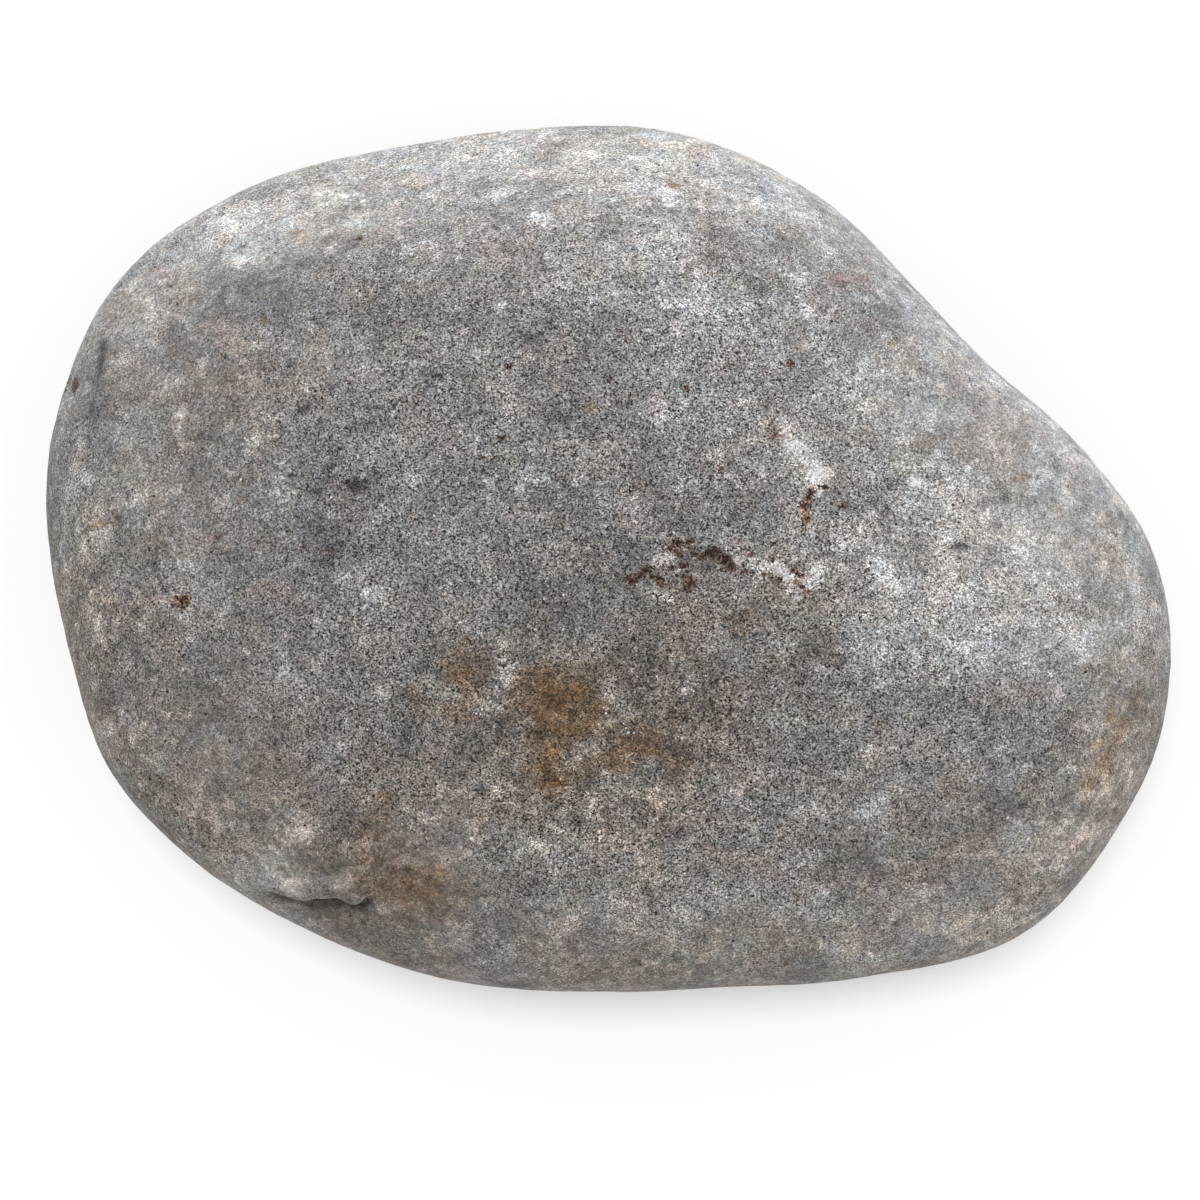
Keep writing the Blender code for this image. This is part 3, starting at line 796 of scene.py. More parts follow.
# The underside, marked as the top is.
UNDERSIDE_MARKS = (
    *marks_of(
        MarkKind.SMOKE,
        (-6.0, 4.0, 12.0, 7.0, 20, 0.30), (24.0, -14.0, 8.0, 5.0, -30, 0.24),
        (-31.0, -9.0, 7.0, 4.0, 60, 0.26), (33.0, 8.0, 0.9, 2.4, 15, 0.70),
        top=False,
    ),
    *marks_of(
        MarkKind.PALE,
        (12.0, 17.0, 10.0, 5.0, 10, 0.30), (-24.0, 15.0, 8.0, 5.0, 30, 0.24),
        (3.0, -22.0, 11.0, 5.0, -5, 0.26),
        top=False,
    ),
    *marks_of(
        MarkKind.UMBER,
        (-14.0, -16.0, 15.0, 8.0, -20, 0.55), (30.0, 2.0, 12.0, 12.0, 0, 0.45),
        (-10.0, 22.0, 14.0, 6.0, 10, 0.40),
        top=False,
    ),
    *marks_of(
        MarkKind.OCHRE,
        (-17.0, -8.0, 5.0, 2.6, 35, 0.48), (-12.5, -12.0, 2.4, 1.6, 0, 0.40),
        (21.0, 14.0, 3.4, 1.8, -20, 0.42), (36.0, -6.0, 2.0, 1.4, 0, 0.35),
        top=False,
    ),
    *marks_of(
        MarkKind.FROST,
        (5.0, 9.0, 2.6, 0.8, -30, 0.60), (8.5, 6.5, 1.4, 0.9, -40, 0.66),
        (-27.0, 3.0, 1.6, 1.2, 0, 0.50), (19.0, -23.0, 1.5, 1.1, 20, 0.48),
        top=False,
    ),
    *marks_of(
        MarkKind.RUST,
        (10.5, 4.6, 0.7, 0.5, -30, 0.85), (11.8, 3.9, 0.5, 0.4, 0, 0.80),
        (-4.0, -14.0, 0.6, 0.5, 0, 0.75), (-35.0, 12.0, 0.5, 0.5, 0, 0.70),
        top=False,
    ),
    *marks_of(
        MarkKind.BLUSH,
        (27.0, 20.0, 1.4, 1.0, 0, 0.50), (-20.0, -22.0, 1.2, 0.9, 0, 0.50),
        top=False,
    ),
    *marks_of(MarkKind.SILT, (0.0, 0.0, 36.0, 24.0, 0, 0.35), top=False),
)

MARKS = (
    PALE_MARKS + SMOKE_MARKS + UMBER_MARKS + SILT_MARKS + OCHRE_MARKS
    + BLUSH_MARKS + FROST_MARKS + RUST_MARKS + UNDERSIDE_MARKS
)


@dataclass(frozen=True)
class MarkPainter:
    """Paints the marks on a finished mesh as one attribute for each kind."""

    marks: tuple = MARKS
    soft_kinds: tuple = (MarkKind.PALE, MarkKind.UMBER, MarkKind.SMOKE, MarkKind.SILT, MarkKind.FROST)
    soft_falloff: float = 2.0
    side_fade: float = 4.0
    small: float = 1.0
    stain_falloff: float = 3.5
    warp: float = 0.8
    warp_share: float = 1.1
    least_warp_length: float = 0.4
    farthest: float = 3.0
    side_start: float = 0.12
    side_width: float = 0.8
    # The sides' paling, partly rubbing and partly painted highlight, strongest at the back, where the light
    # falls.
    paling_patches: float = 14.0
    paling_shift: float = 41.0
    paling_least: float = 0.15
    paling_swing: float = 0.5
    front_paling: float = 0.2
    back_reach: float = 50.0
    silt_on_sides: float = 0.5
    silt_in_ochre: float = 0.3
    # How much of the painted shadow under the ledge's lip darkens the brown silt and the smoky tint.
    umber_in_lip_shadow: float = 0.6
    smoke_in_lip_shadow: float = 0.85

    def strength(self, mark: Mark, points: np.ndarray, middle: float) -> np.ndarray:
        """How strongly one mark colours each point.

        Args:
            mark: The mark.
            points: Places on the finished stone, in millimetres.
            middle: The height that parts the upper side from the underside.

        Returns:
            A value from 0 to the mark's strength for each point.
        """
        along, across = self.in_mark(mark, points)
        distance = np.hypot(along / mark.half_length, across / mark.half_width)
        side = smooth_step((points[:, 2] - middle) / self.side_fade + 0.5)
        side = side if mark.top else 1 - side
        near = (distance < self.farthest) & (side > 0.0)
        strengths = np.zeros(len(points))
        wavelength = self.warp_share * min(mark.half_length, mark.half_width) + self.least_warp_length
        bent = distance[near] + self.warp * noise_at(points[near], wavelength, 3, mark.x)
        falloff = self.soft_falloff if mark.kind in self.soft_kinds else self.stain_falloff
        strengths[near] = mark.strength * side[near] * np.exp(-(np.maximum(bent, 0.0) ** falloff))
        return strengths

    def near_small_marks(self, points: np.ndarray, reach: float) -> np.ndarray:
        """Whether each point is in a small mark, or within reach of one.

        Args:
            points: Places on the form.
            reach: A distance in millimetres, or a negative one for none.

        Returns:
            True or False for each point.
        """
        near = np.zeros(len(points), bool)
        for mark in self.marks:
            if reach < 0 or mark.half_width > self.small:
                continue
            along, across = self.in_mark(mark, points)
            beyond_length = np.maximum(np.abs(along) - mark.half_length, 0.0)
            beyond_width = np.maximum(np.abs(across) - mark.half_width, 0.0)
            on_side = points[:, 2] > 0 if mark.top else points[:, 2] < 0
            near |= (np.hypot(beyond_length, beyond_width) < reach) & on_side
        return near

    @staticmethod
    def in_mark(mark: Mark, points: np.ndarray) -> tuple[np.ndarray, np.ndarray]:
        """Where each point lies from a mark's middle.

        Args:
            mark: The mark.
            points: Places on the stone, in millimetres.

        Returns:
            The distances along the mark's length and across it.
        """
        turn = math.radians(mark.turn)
        away_x, away_y = points[:, 0] - mark.x, points[:, 1] - mark.y
        along = away_x * math.cos(turn) + away_y * math.sin(turn)
        across = away_y * math.cos(turn) - away_x * math.sin(turn)
        return along, across

    def paint(self, data: bpy.types.Mesh, points: np.ndarray, middle: float, lip_shadow_and_silt: np.ndarray) -> None:
        """Writes one attribute for each kind of mark.

        Args:
            data: The mesh to paint.
            points: Its points, in millimetres.
            middle: The height that parts the upper side from the underside.
            lip_shadow_and_silt: How much painted shadow and silt each point holds under the ledge's lip.
        """
        sides = self.leaning(data)
        # The sides are painted paler: partly rubbing, partly painted highlight, strongest at the back, where
        # the key light falls, and weakest at the front.
        patches = 0.5 + 0.5 * noise_at(points, self.paling_patches, 2, self.paling_shift)
        back = smooth_step(points[:, 1] / self.back_reach + 0.5)
        rim_wear_and_highlight = sides * (self.paling_least + self.paling_swing * patches)
        rim_wear_and_highlight *= self.front_paling + (1 - self.front_paling) * back
        all_over = {
            MarkKind.PALE: np.clip(rim_wear_and_highlight, 0.0, 1.0),
            # The painted shadow under the ledge's lip darkens the brown silt and smoky tints and smooths the
            # grain.
            MarkKind.SILT: np.maximum(sides * self.silt_on_sides, lip_shadow_and_silt),
            MarkKind.UMBER: self.umber_in_lip_shadow * lip_shadow_and_silt,
            MarkKind.SMOKE: self.smoke_in_lip_shadow * lip_shadow_and_silt,
        }
        for kind in MarkKind:
            bare = 1 - all_over.get(kind, np.zeros(len(points)))
            for mark in self.marks:
                if mark.kind is kind:
                    bare *= 1 - self.strength(mark, points, middle)
                elif kind is MarkKind.SILT and mark.kind is MarkKind.OCHRE:
                    bare *= 1 - self.silt_in_ochre * self.strength(mark, points, middle)
            attribute = data.attributes.new(kind.value, "FLOAT", "POINT")
            attribute.data.foreach_set("value", (1 - bare).astype(np.float32))

    def leaning(self, data: bpy.types.Mesh) -> np.ndarray:
        """How far each point is on a side, and not on the top or the underside, where rubbing and painted
        highlight make it paler.

        Args:
            data: The mesh, for its normals.

        Returns:
            A value from 0 to 1 for each point.
        """
        normals = np.array([vertex.normal[:] for vertex in data.vertices], float)
        return smooth_step((1 - np.abs(normals[:, 2]) - self.side_start) / self.side_width)


# ---------------------------------------------------------------------------------------------------------
# The material
# ---------------------------------------------------------------------------------------------------------


Socket = bpy.types.NodeSocket


class NodeWeb:
    """A thin layer over a material's node tree, so that a shader reads as a sum of named steps."""

    def __init__(self, tree: bpy.types.NodeTree) -> None:
        """Keeps the tree that nodes are added to, and makes its coordinates in millimetres.

        Args:
            tree: The material's node tree.
        """
        self.tree = tree
        texture = tree.nodes.new("ShaderNodeTexCoord")
        mapping = tree.nodes.new("ShaderNodeMapping")
        mapping.inputs["Scale"].default_value = (1 / MM, 1 / MM, 1 / MM)
        self.plug(texture.outputs["Object"], mapping.inputs["Vector"])
        self.place = mapping.outputs["Vector"]

    def plug(self, source: object, socket: Socket) -> None:
        """Links an output to a socket, or sets the socket to a plain value.

        Args:
            source: An output, or a plain value.
            socket: The input it goes to.
        """
        if isinstance(source, Socket):
            self.tree.links.new(source, socket)
        else:
            socket.default_value = source

    def math(self, operation: str, first: object, second: object = 0.0) -> Socket:
        """A Math node's result.

        Args:
            operation: What the node does.
            first: An output or a number.
            second: An output or a number.

        Returns:
            The result.
        """
        node = self.tree.nodes.new("ShaderNodeMath")
        node.operation = operation
        self.plug(first, node.inputs[0])
        self.plug(second, node.inputs[1])
        return node.outputs[0]

    def around_one(self, value: Socket, swing: float) -> Socket:
        """Turns a value that averages a half into a factor that averages 1.

        Args:
            value: A value from 0 to 1.
            swing: How far the factor goes either way.

        Returns:
            The factor.
        """
        node = self.tree.nodes.new("ShaderNodeMath")
        node.operation = "MULTIPLY_ADD"
        self.plug(value, node.inputs[0])
        node.inputs[1].default_value = 2 * swing
        node.inputs[2].default_value = 1 - swing
        return node.outputs[0]

    def noise(self, wavelength: float, detail: float = 3.0, rough: float = 0.7) -> bpy.types.Node:
        """A noise pattern with lumps of a size in millimetres.

        Args:
            wavelength: The size of the lumps.
            detail: How many finer layers it has.
            rough: How strong the finer layers are.

        Returns:
            The noise node.
        """
        node = self.tree.nodes.new("ShaderNodeTexNoise")
        node.inputs["Scale"].default_value = 1 / wavelength
        node.inputs["Detail"].default_value = detail
        node.inputs["Roughness"].default_value = rough
        self.plug(self.place, node.inputs["Vector"])
        return node

    def lumps(self, wavelength: float, detail: float = 3.0, rough: float = 0.7) -> Socket:
        """A noise pattern's value, from 0 to 1."""
        return self.noise(wavelength, detail, rough).outputs["Fac"]

    def grains(self, size: float) -> bpy.types.Node:
        """Packed grains of a size in millimetres.

        Args:
            size: How far apart the grains are.

        Returns:
            The node that makes them.
        """
        node = self.tree.nodes.new("ShaderNodeTexVoronoi")
        node.inputs["Scale"].default_value = 1 / size
        self.plug(self.place, node.inputs["Vector"])
        return node

    def chance(self, grains: bpy.types.Node) -> Socket:
        """An even random value from 0 to 1 for each grain.

        Args:
            grains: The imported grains.

        Returns:
            The value.
        """
        node = self.tree.nodes.new("ShaderNodeSeparateColor")
        self.plug(grains.outputs["Color"], node.inputs["Color"])
        return node.outputs["Red"]

    def ramp(self, value: Socket, stops: tuple) -> Socket:
        """A grey level for each value, from (place, level) stops.

        Args:
            value: A value from 0 to 1.
            stops: The levels, with the values they stand at.

        Returns:
            The grey level, as a colour.
        """
        node = self.tree.nodes.new("ShaderNodeValToRGB")
        elements = node.color_ramp.elements
        for _ in stops[2:]:
            elements.new(0.5)
        for element, (place, level) in zip(elements, stops):
            element.position = place
            element.color = (level, level, level, 1.0)
        self.plug(value, node.inputs["Fac"])
        return node.outputs["Color"]

    def rise(self, value: Socket, low: float, high: float) -> Socket:
        """0 below low, 1 above high, and a smooth rise between them.

        Args:
            value: Any value.
            low: Where the rise starts.
            high: Where it ends.

        Returns:
            The eased value, from 0 to 1.
        """
        node = self.tree.nodes.new("ShaderNodeMapRange")
        node.interpolation_type = "SMOOTHSTEP"
        node.inputs["From Min"].default_value = low
        node.inputs["From Max"].default_value = high
        self.plug(value, node.inputs["Value"])
        return node.outputs["Result"]

    def mix(self, blend: str, share: object, first: object, second: object) -> Socket:
        """A colour mix.

        Args:
            blend: How the two colours meet.
            share: How much of the second there is.
            first: A colour.
            second: A colour.

        Returns:
            The mixed colour.
        """
        node = self.tree.nodes.new("ShaderNodeMix")
        node.data_type = "RGBA"
        node.blend_type = blend
        node.clamp_factor = True
        self.plug(share, node.inputs["Factor"])
        self.plug(first, node.inputs["A"])
        self.plug(second, node.inputs["B"])
        return node.outputs["Result"]

    def scale_colour(self, colour: Socket, factor: Socket) -> Socket:
        """A colour times a factor.

        Args:
            colour: The colour.
            factor: The factor.

        Returns:
            The scaled colour.
        """
        node = self.tree.nodes.new("ShaderNodeVectorMath")
        node.operation = "SCALE"
        self.plug(colour, node.inputs[0])
        self.plug(factor, node.inputs["Scale"])
        return node.outputs[0]

    def shift_hue(self, colour: Socket, shifts: Socket, swing: float) -> Socket:
        """A colour whose red, green and blue each swing by their own share.

        Args:
            colour: The colour.
            shifts: Three values that each average a half.
            swing: How far each channel goes either way.

        Returns:
            The shifted colour.
        """
        factors = self.tree.nodes.new("ShaderNodeVectorMath")
        factors.operation = "MULTIPLY_ADD"
        self.plug(shifts, factors.inputs[0])
        factors.inputs[1].default_value = (2 * swing, 2 * swing, 2 * swing)
        factors.inputs[2].default_value = (1 - swing, 1 - swing, 1 - swing)
        product = self.tree.nodes.new("ShaderNodeVectorMath")
        product.operation = "MULTIPLY"
        self.plug(colour, product.inputs[0])
        self.plug(factors.outputs[0], product.inputs[1])
        return product.outputs[0]

    def attribute(self, name: str) -> Socket:
        """A mesh attribute's value.

        Args:
            name: The attribute's name.

        Returns:
            Its value.
        """
        node = self.tree.nodes.new("ShaderNodeAttribute")
        node.attribute_name = name
        return node.outputs["Fac"]


class TintLook(NamedTuple):
    """How one kind of mark colours the stone: how it blends, its colour, and the specks it breaks into."""

    kind: MarkKind
    blend: str
    tint: tuple
    cover: float
    speck: float
    grip: float
    start: float
    soft: float


class GrainLook(NamedTuple):
    """A scatter of single odd grains: the mark that holds them, their size, share, reach and colour."""

    kind: MarkKind
    size: float
    share: float
    everywhere: float
    reach: float
    colour: tuple


class ClumpLook(NamedTuple):
    """Clumps found all over the stone: their size, where their noise starts and how wide, and their tint."""

    size: float
    start: float
    soft: float
    tint: tuple


@dataclass(frozen=True)
class StoneFinish:
    """Dry, fine-grained grey sandstone, rubbed matt."""

    name: str = "river_stone"
    cool_grey: tuple = (0.195, 0.195, 0.199, 1.0)
    warm_grey: tuple = (0.216, 0.201, 0.188, 1.0)
    zone_length: float = 15.0
    warm_from: float = 0.75
    warm_to: float = 1.25
    grain_size: float = 0.108
    salt_and_pepper: tuple = (
        (0.0, 0.01), (0.13, 0.14), (0.32, 0.72), (0.6, 1.15), (0.85, 1.70), (1.0, 2.7),
    )
    grain_contrast: float = 1.10
    darkest_grain: float = 0.01
    silted_contrast: float = 0.40
    coarse_grain_size: float = 0.40
    coarse_swing: float = 0.10
    mottle_length: float = 7.0
    mottle_detail: float = 4.0
    mottle_rough: float = 0.85
    mottle_swing: float = 1.1
    hue_length: float = 3.0
    hue_detail: float = 1.5
    hue_rough: float = 0.5
    hue_swing: float = 0.038
    roughness: float = 0.9
    grain_relief: float = 0.02
    skin_length: float = 0.6
    clumps: tuple = (
        ClumpLook(1.8, 0.50, 0.22, (1.56, 1.57, 1.59, 1.0)),
        ClumpLook(1.2, 0.53, 0.20, (0.59, 0.58, 0.59, 1.0)),
    )
    # Brown silt, which also carries painted shadow under the ledge's lip, has three tints: its own, and
    # paler and darker patches where it lies unevenly.
    tints: tuple = (
        # Paler zones, partly painted highlight.
        TintLook(MarkKind.PALE, "MULTIPLY", (2.05, 2.11, 2.14, 1.0), 1.0, 2.0, 0.9, 0.25, 1.1),
        TintLook(MarkKind.UMBER, "MULTIPLY", (1.08, 0.98, 0.86, 1.0), 1.0, 1.3, 0.8, 0.40, 0.7),
        TintLook(MarkKind.UMBER, "MULTIPLY", (1.44, 1.45, 1.47, 1.0), 1.0, 1.5, 0.3, 0.66, 0.14),
        TintLook(MarkKind.UMBER, "MULTIPLY", (0.74, 0.72, 0.71, 1.0), 1.0, 1.1, 0.3, 0.64, 0.14),
        # Smoky tints, which also paint shade and the shadow under the ledge's lip.
        TintLook(MarkKind.SMOKE, "MULTIPLY", (0.55, 0.555, 0.585, 1.0), 1.0, 0.7, 0.9, 0.40, 0.8),
        TintLook(MarkKind.SMOKE, "MULTIPLY", (0.50, 0.48, 0.46, 1.0), 1.0, 0.5, 1.4, 1.0, 0.7),
        TintLook(MarkKind.BLUSH, "MULTIPLY", (0.88, 0.71, 0.68, 1.0), 1.0, 0.5, 0.7, 0.55, 0.5),
        TintLook(MarkKind.OCHRE, "MULTIPLY", (0.64, 0.43, 0.23, 1.0), 1.0, 0.9, 0.80, 0.43, 0.8),
        TintLook(MarkKind.FROST, "MULTIPLY", (1.80, 1.82, 1.87, 1.0), 1.0, 0.9, 0.8, 0.50, 0.6),
        TintLook(MarkKind.FROST, "MIX", (0.56, 0.565, 0.58, 1.0), 0.62, 0.40, 1.4, 1.0, 0.7),
        TintLook(MarkKind.RUST, "MULTIPLY", (0.62, 0.38, 0.27, 1.0), 1.0, 0.40, 0.5, 0.46, 0.3),
    )
    odd_grains: tuple = (
        GrainLook(MarkKind.FROST, 0.24, 0.35, 0.002, 0.62, (0.66, 0.66, 0.67, 1.0)),
        GrainLook(MarkKind.FROST, 0.17, 0.30, 0.0, 0.62, (0.80, 0.80, 0.80, 1.0)),
        GrainLook(MarkKind.RUST, 0.24, 0.75, 0.001, 0.85, (0.036, 0.014, 0.008, 1.0)),
        GrainLook(MarkKind.RUST, 0.20, 0.72, 0.002, 0.85, (0.005, 0.004, 0.004, 1.0)),
        GrainLook(MarkKind.SMOKE, 0.30, 0.10, 0.004, 0.62, (0.030, 0.029, 0.034, 1.0)),
    )

    def material(self) -> bpy.types.Material:
        """Builds the finish.

        Returns:
            The material.
        """
        material = bpy.data.materials.new(self.name)
        material.use_nodes = True
        web = NodeWeb(material.node_tree)
        shader = material.node_tree.nodes["Principled BSDF"]
        shader.inputs["Roughness"].default_value = self.roughness
        fine = web.grains(self.grain_size)
        colour = self.base_colour(web, fine)
        for look in self.clumps:
            share = web.rise(web.lumps(look.size), look.start, look.start + look.soft)
            colour = web.mix("MULTIPLY", share, colour, look.tint)
        for look in self.tints:
            colour = self.add_tint(web, colour, look)
        for look in self.odd_grains:
            colour = self.add_grains(web, colour, look)
        web.plug(colour, shader.inputs["Base Color"])
        web.plug(self.bump(web, fine), shader.inputs["Normal"])
        return material

    def base_colour(self, web: NodeWeb, fine: bpy.types.Node) -> Socket:
        """Salt-and-pepper grains over cool and warm zones.

        Args:
            web: The node tree.
            fine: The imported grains.

        Returns:
            The colour of clean stone.
        """
        patches = web.lumps(self.hue_length, self.hue_detail, self.hue_rough)
        zones = web.math("ADD", web.lumps(self.zone_length), patches)
        warmth = web.rise(zones, self.warm_from, self.warm_to)
        colour = web.mix("MIX", warmth, self.cool_grey, self.warm_grey)
        hues = web.noise(self.hue_length, self.hue_detail, self.hue_rough).outputs["Color"]
        colour = web.shift_hue(colour, hues, self.hue_swing)
        salt = web.math("SUBTRACT", web.ramp(web.chance(fine), self.salt_and_pepper), 1.0)
        silt = web.attribute(MarkKind.SILT.value)
        hidden = web.math("MULTIPLY", silt, self.grain_contrast - self.silted_contrast)
        salt = web.math("MULTIPLY", salt, web.math("SUBTRACT", self.grain_contrast, hidden))
        salt = web.math("MAXIMUM", web.math("ADD", salt, 1.0), self.darkest_grain)
        coarse = web.around_one(web.chance(web.grains(self.coarse_grain_size)), self.coarse_swing)
        lumps = web.lumps(self.mottle_length, self.mottle_detail, self.mottle_rough)
        mottle = web.around_one(lumps, self.mottle_swing)
        factor = web.math("MULTIPLY", web.math("MULTIPLY", coarse, mottle), salt)
        return web.scale_colour(colour, factor)

    @staticmethod
    def add_tint(web: NodeWeb, colour: Socket, look: TintLook) -> Socket:
        """Tints the stone where it has one kind of mark, speck by speck.

        Args:
            web: The node tree.
            colour: The colour so far.
            look: How this kind of mark looks.

        Returns:
            The colour with the marks.
        """
        strength = web.attribute(look.kind.value)
        raised = web.math("ADD", web.lumps(look.speck), web.math("MULTIPLY", strength, look.grip))
        cover = web.rise(raised, look.start, look.start + look.soft)
        share = web.math("MULTIPLY", cover, web.rise(strength, 0.0, FULL_COVER_AT))
        return web.mix(look.blend, web.math("MULTIPLY", share, look.cover), colour, look.tint)

    @staticmethod
    def add_grains(web: NodeWeb, colour: Socket, look: GrainLook) -> Socket:
        """Swaps single grains for odd ones, many where the stone is marked and few elsewhere.

        Args:
            web: The node tree.
            colour: The colour so far.
            look: How these grains look.

        Returns:
            The colour with the odd grains.
        """
        cells = web.grains(look.size)
        strength = web.attribute(look.kind.value)
        wanted = web.math("MULTIPLY", web.math("MULTIPLY", strength, strength), look.share)
        clean = web.math("SUBTRACT", 1.0, web.attribute(MarkKind.SILT.value))
        wanted = web.math("ADD", wanted, web.math("MULTIPLY", clean, look.everywhere))
        chosen = web.math("LESS_THAN", web.chance(cells), wanted)
        core = web.rise(cells.outputs["Distance"], look.reach, look.reach - GRAIN_EDGE)
        return web.mix("MIX", web.math("MULTIPLY", chosen, core), colour, look.colour)

    def bump(self, web: NodeWeb, fine: bpy.types.Node) -> Socket:
        """The roughness of single grains, finer than the mesh.

        Args:
            web: The node tree.
            fine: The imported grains.

        Returns:
            The shading normal.
        """
        node = web.tree.nodes.new("ShaderNodeBump")
        node.inputs["Distance"].default_value = self.grain_relief * MM
        height = web.math("ADD", fine.outputs["Distance"], web.lumps(self.skin_length))
        web.plug(height, node.inputs["Height"])
        return node.outputs["Normal"]


# ---------------------------------------------------------------------------------------------------------
# The stone
# ---------------------------------------------------------------------------------------------------------


@dataclass(frozen=True)
class Pebble:
    """The whole stone: its mesh, marks and finish."""

    form: PebbleForm
    relief: Relief = Relief()
    painter: MarkPainter = MarkPainter()
    finish: StoneFinish = StoneFinish()
    ball_subdivisions: int = 5
    relax_rounds: int = 30
    relax_share: float = 0.5
    fine_cuts: int = 4
    refinements: tuple = ((2.6, 0.6), (1.4, 0.25), (0.7, -1.0))

    def build(self) -> bpy.types.Object:
        """Makes the stone.

        Returns:
            The finished object, at the origin, with its place in its mesh.
        """
        ledge = FlakeLedge(self.form)
        mesh = self.lay_even_skin()
        self.refine(mesh, ledge)
        form_points = read_points(mesh)
        rises = self.form.swell_heights(form_points) + ledge.rises(form_points)
        # Painted shadow, with silt, at the foot of the ledge's lip.
        lip_shadow_and_silt = ledge.lip_shadow_and_silt(form_points)
        rises += self.relief.heights(form_points)
        self.raise_surface(mesh, self.form.tilt_belt(form_points), rises)
        points = self.form.bring_to_size(read_points(mesh))
        middle = self.form.thickness / 2
        self.raise_surface(mesh, points, -self.relief.pit_depths(points, middle))
        points = read_points(mesh)
        points[:, 2] = np.maximum(points[:, 2], 0.0)
        write_points(mesh, points * MM)
        bmesh.ops.recalc_face_normals(mesh, faces=mesh.faces)
        data = bpy.data.meshes.new("river_stone")
        mesh.to_mesh(data)
        mesh.free()
        data.shade_smooth()
        self.painter.paint(data, points, middle, lip_shadow_and_silt)
        data.materials.append(self.finish.material())
        stone = bpy.data.objects.new("river_stone", data)
        bpy.context.scene.collection.objects.link(stone)
        return stone

    def lay_even_skin(self) -> bmesh.types.BMesh:
        """A ball's mesh drawn onto the form, relaxed until its triangles are about equal, then cut finely.

        Returns:
            The skin, in millimetres.
        """
        mesh = bmesh.new()
        bmesh.ops.create_icosphere(mesh, subdivisions=self.ball_subdivisions, radius=1.0)
        stretch = np.array([self.form.length, self.form.width, self.form.thickness]) / 2
        write_points(mesh, self.form.on_surface(read_points(mesh) * stretch))
        for _ in range(self.relax_rounds):
            bmesh.ops.smooth_vert(
                mesh,
                verts=mesh.verts,
                factor=self.relax_share,
                use_axis_x=True,
                use_axis_y=True,
                use_axis_z=True,
            )
            write_points(mesh, self.form.on_surface(read_points(mesh)))
        bmesh.ops.subdivide_edges(mesh, edges=mesh.edges, cuts=self.fine_cuts, use_grid_fill=True)
        write_points(mesh, self.form.on_surface(read_points(mesh)))
        return mesh

    def refine(self, mesh: bmesh.types.BMesh, ledge: FlakeLedge) -> None:
        """Halves the triangles by the ledge's lip and under small marks, and again where they are finest.

        Args:
            mesh: The skin, in millimetres.
            ledge: The ledge.
        """
        for ledge_reach, mark_reach in self.refinements:
            points = read_points(mesh)
            near = ledge.near(points, ledge_reach) | self.painter.near_small_marks(points, mark_reach)
            mesh.verts.index_update()
            edges = [edge for edge in mesh.edges if all(near[vert.index] for vert in edge.verts)]
            bmesh.ops.subdivide_edges(mesh, edges=edges, cuts=1, use_grid_fill=True)
            bmesh.ops.triangulate(mesh, faces=mesh.faces)
            mesh.verts.index_update()
            write_points(mesh, self.form.on_surface(read_points(mesh)))

    @staticmethod
    def raise_surface(mesh: bmesh.types.BMesh, points: np.ndarray, rises: np.ndarray) -> None:
        """Moves the mesh to new places, then along its normals.

        Args:
            mesh: The mesh.
            points: Its new places.
            rises: How far each point then moves outwards.
        """
        write_points(mesh, points)
        mesh.normal_update()
        normals = np.array([vert.normal[:] for vert in mesh.verts], float)
        write_points(mesh, points + normals * rises[:, None])


def read_points(mesh: bmesh.types.BMesh) -> np.ndarray:
    """The mesh's points as one array."""
    return np.array([vert.co[:] for vert in mesh.verts], float)


def write_points(mesh: bmesh.types.BMesh, points: np.ndarray) -> None:
    """Moves each of the mesh's points to its place in the array."""
    for vert, point in zip(mesh.verts, points):
        vert.co = point


# ---------------------------------------------------------------------------------------------------------
# The studio
# ---------------------------------------------------------------------------------------------------------


class Lamp(NamedTuple):
    """A soft, distant lamp: the way it stands from the stone, its height, both in degrees, and its light."""

    name: str
    toward: float
    height: float
    spread: float
    strength: float
    lights_floor: bool


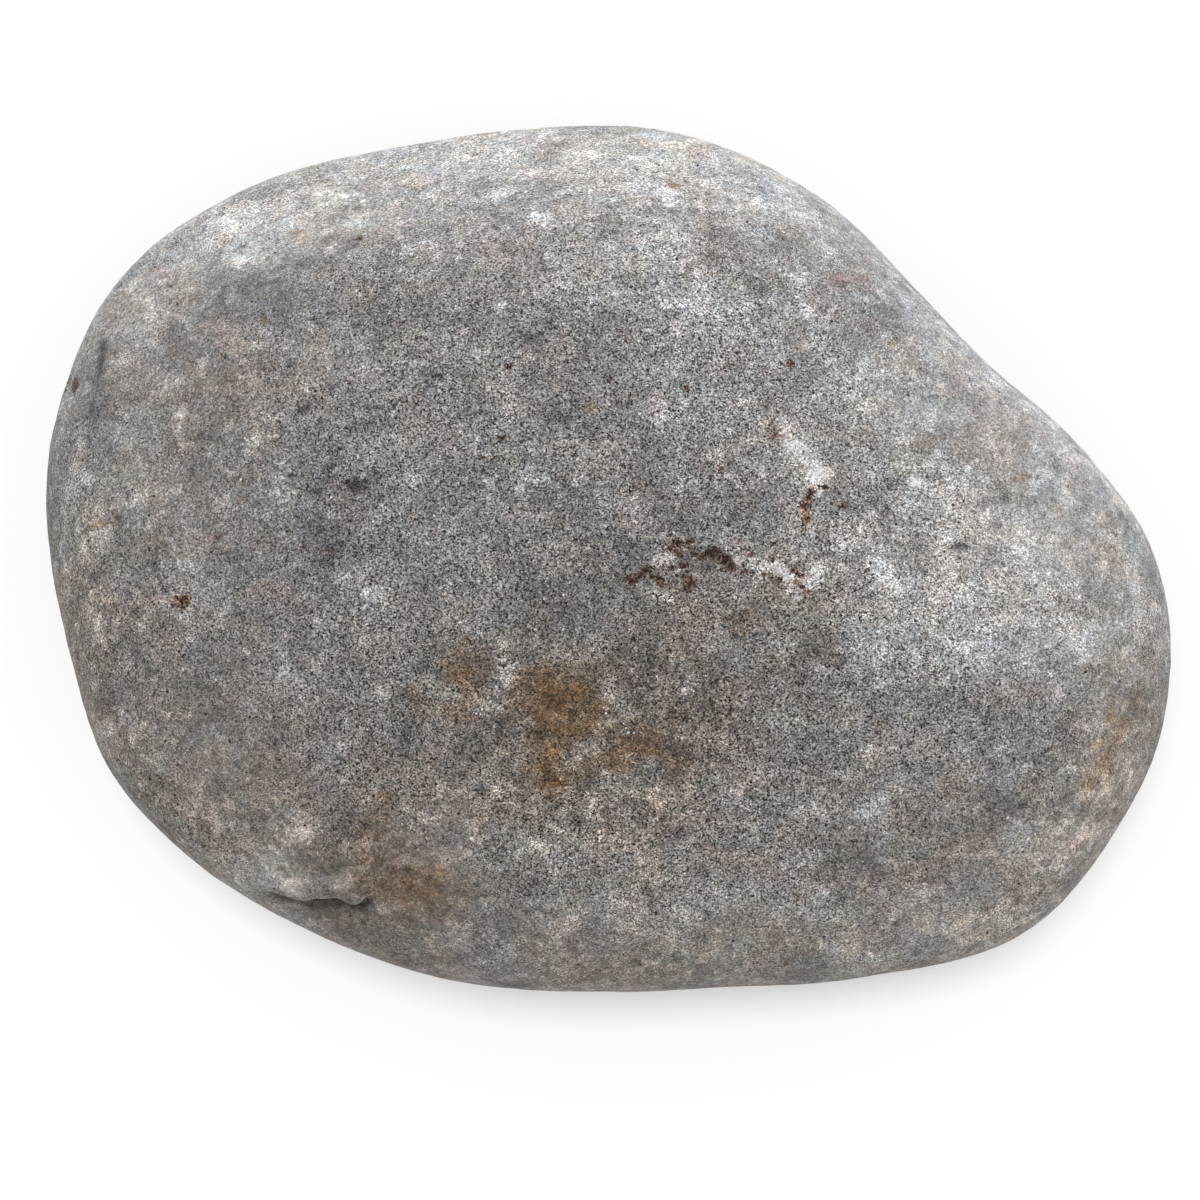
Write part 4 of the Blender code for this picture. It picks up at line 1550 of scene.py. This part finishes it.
@dataclass(frozen=True)
class Studio:
    """A plain pale floor under soft light, and a camera that looks straight down on the stone."""

    floor_radius: float = 3.0
    floor_sides: int = 64
    floor_grey: float = 0.9
    sky_strength: float = 0.60
    lamps: tuple = (
        Lamp("overhead", 108, 84.6, 14, 1.93, True),
        Lamp("key", 78, 18, 60, 3.7, False),
        Lamp("front", 275, 20, 60, 0.75, False),
    )
    camera_place: tuple = (-0.4956, -4.138, 454.62)
    lens: float = 145.125
    sensor: float = 36.0
    nearest: float = 0.01
    farthest: float = 10.0

    def build(self, stone: bpy.types.Object) -> None:
        """Sets up the floor, lamps, sky and camera.

        Args:
            stone: The stone, which some lamps light alone.
        """
        floor = self.floor()
        for lamp in self.lamps:
            self.hang(lamp, floor if lamp.lights_floor else stone)
        self.sky()
        self.camera()
        bpy.context.scene.view_settings.view_transform = "Standard"

    def floor(self) -> bpy.types.Object:
        """A wide round floor at z = 0.

        Returns:
            The floor.
        """
        mesh = bmesh.new()
        bmesh.ops.create_circle(mesh, cap_ends=True, segments=self.floor_sides, radius=self.floor_radius)
        data = bpy.data.meshes.new("studio_floor")
        mesh.to_mesh(data)
        mesh.free()
        material = bpy.data.materials.new("studio_floor")
        material.use_nodes = True
        shader = material.node_tree.nodes["Principled BSDF"]
        shader.inputs["Base Color"].default_value = (self.floor_grey, self.floor_grey, self.floor_grey, 1.0)
        shader.inputs["Roughness"].default_value = 1.0
        data.materials.append(material)
        floor = bpy.data.objects.new("studio_floor", data)
        bpy.context.scene.collection.objects.link(floor)
        floor.visible_diffuse = False
        return floor

    @staticmethod
    def hang(lamp: Lamp, lit: bpy.types.Object) -> None:
        """Hangs one lamp that lights one object.

        Args:
            lamp: The lamp.
            lit: What it lights.
        """
        data = bpy.data.lights.new(lamp.name, "SUN")
        data.energy = lamp.strength
        data.angle = math.radians(lamp.spread)
        made = bpy.data.objects.new(lamp.name, data)
        toward, height = math.radians(lamp.toward), math.radians(lamp.height)
        ray = Vector(
            (math.cos(toward) * math.cos(height), math.sin(toward) * math.cos(height), math.sin(height))
        )
        made.rotation_euler = ray.to_track_quat("Z", "Y").to_euler()
        receivers = bpy.data.collections.new(f"lit_by_{lamp.name}")
        receivers.objects.link(lit)
        made.light_linking.receiver_collection = receivers
        bpy.context.scene.collection.objects.link(made)

    def sky(self) -> None:
        """An even white sky."""
        world = bpy.data.worlds.new("soft_sky")
        world.use_nodes = True
        world.node_tree.nodes["Background"].inputs["Strength"].default_value = self.sky_strength
        world.node_tree.nodes["Background"].inputs["Color"].default_value = (1.0, 1.0, 1.0, 1.0)
        bpy.context.scene.world = world

    def camera(self) -> None:
        """The camera, straight above the stone."""
        data = bpy.data.cameras.new("camera")
        data.lens = self.lens
        data.sensor_width = self.sensor
        data.clip_start = self.nearest
        data.clip_end = self.farthest
        made = bpy.data.objects.new("camera", data)
        made.location = Vector(self.camera_place) * MM
        bpy.context.scene.collection.objects.link(made)
        bpy.context.scene.camera = made


def main() -> None:
    """Builds the stone and the studio, and hands the stone to the frame."""
    logging.basicConfig(level=logging.INFO, format="%(name)s: %(message)s")
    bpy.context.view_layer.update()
    low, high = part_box(NODE)
    length, width, thickness = (high - low) / MM
    stone = Pebble(PebbleForm(length, width, thickness)).build()
    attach(stone, "root")
    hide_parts(NODE)
    log.info("%s: %d triangles", stone.name, len(stone.data.polygons))
    studio = Studio()
    studio.build(stone)
    log.info("studio: %d lamps", len(studio.lamps))


if __name__ == "__main__":
    main()
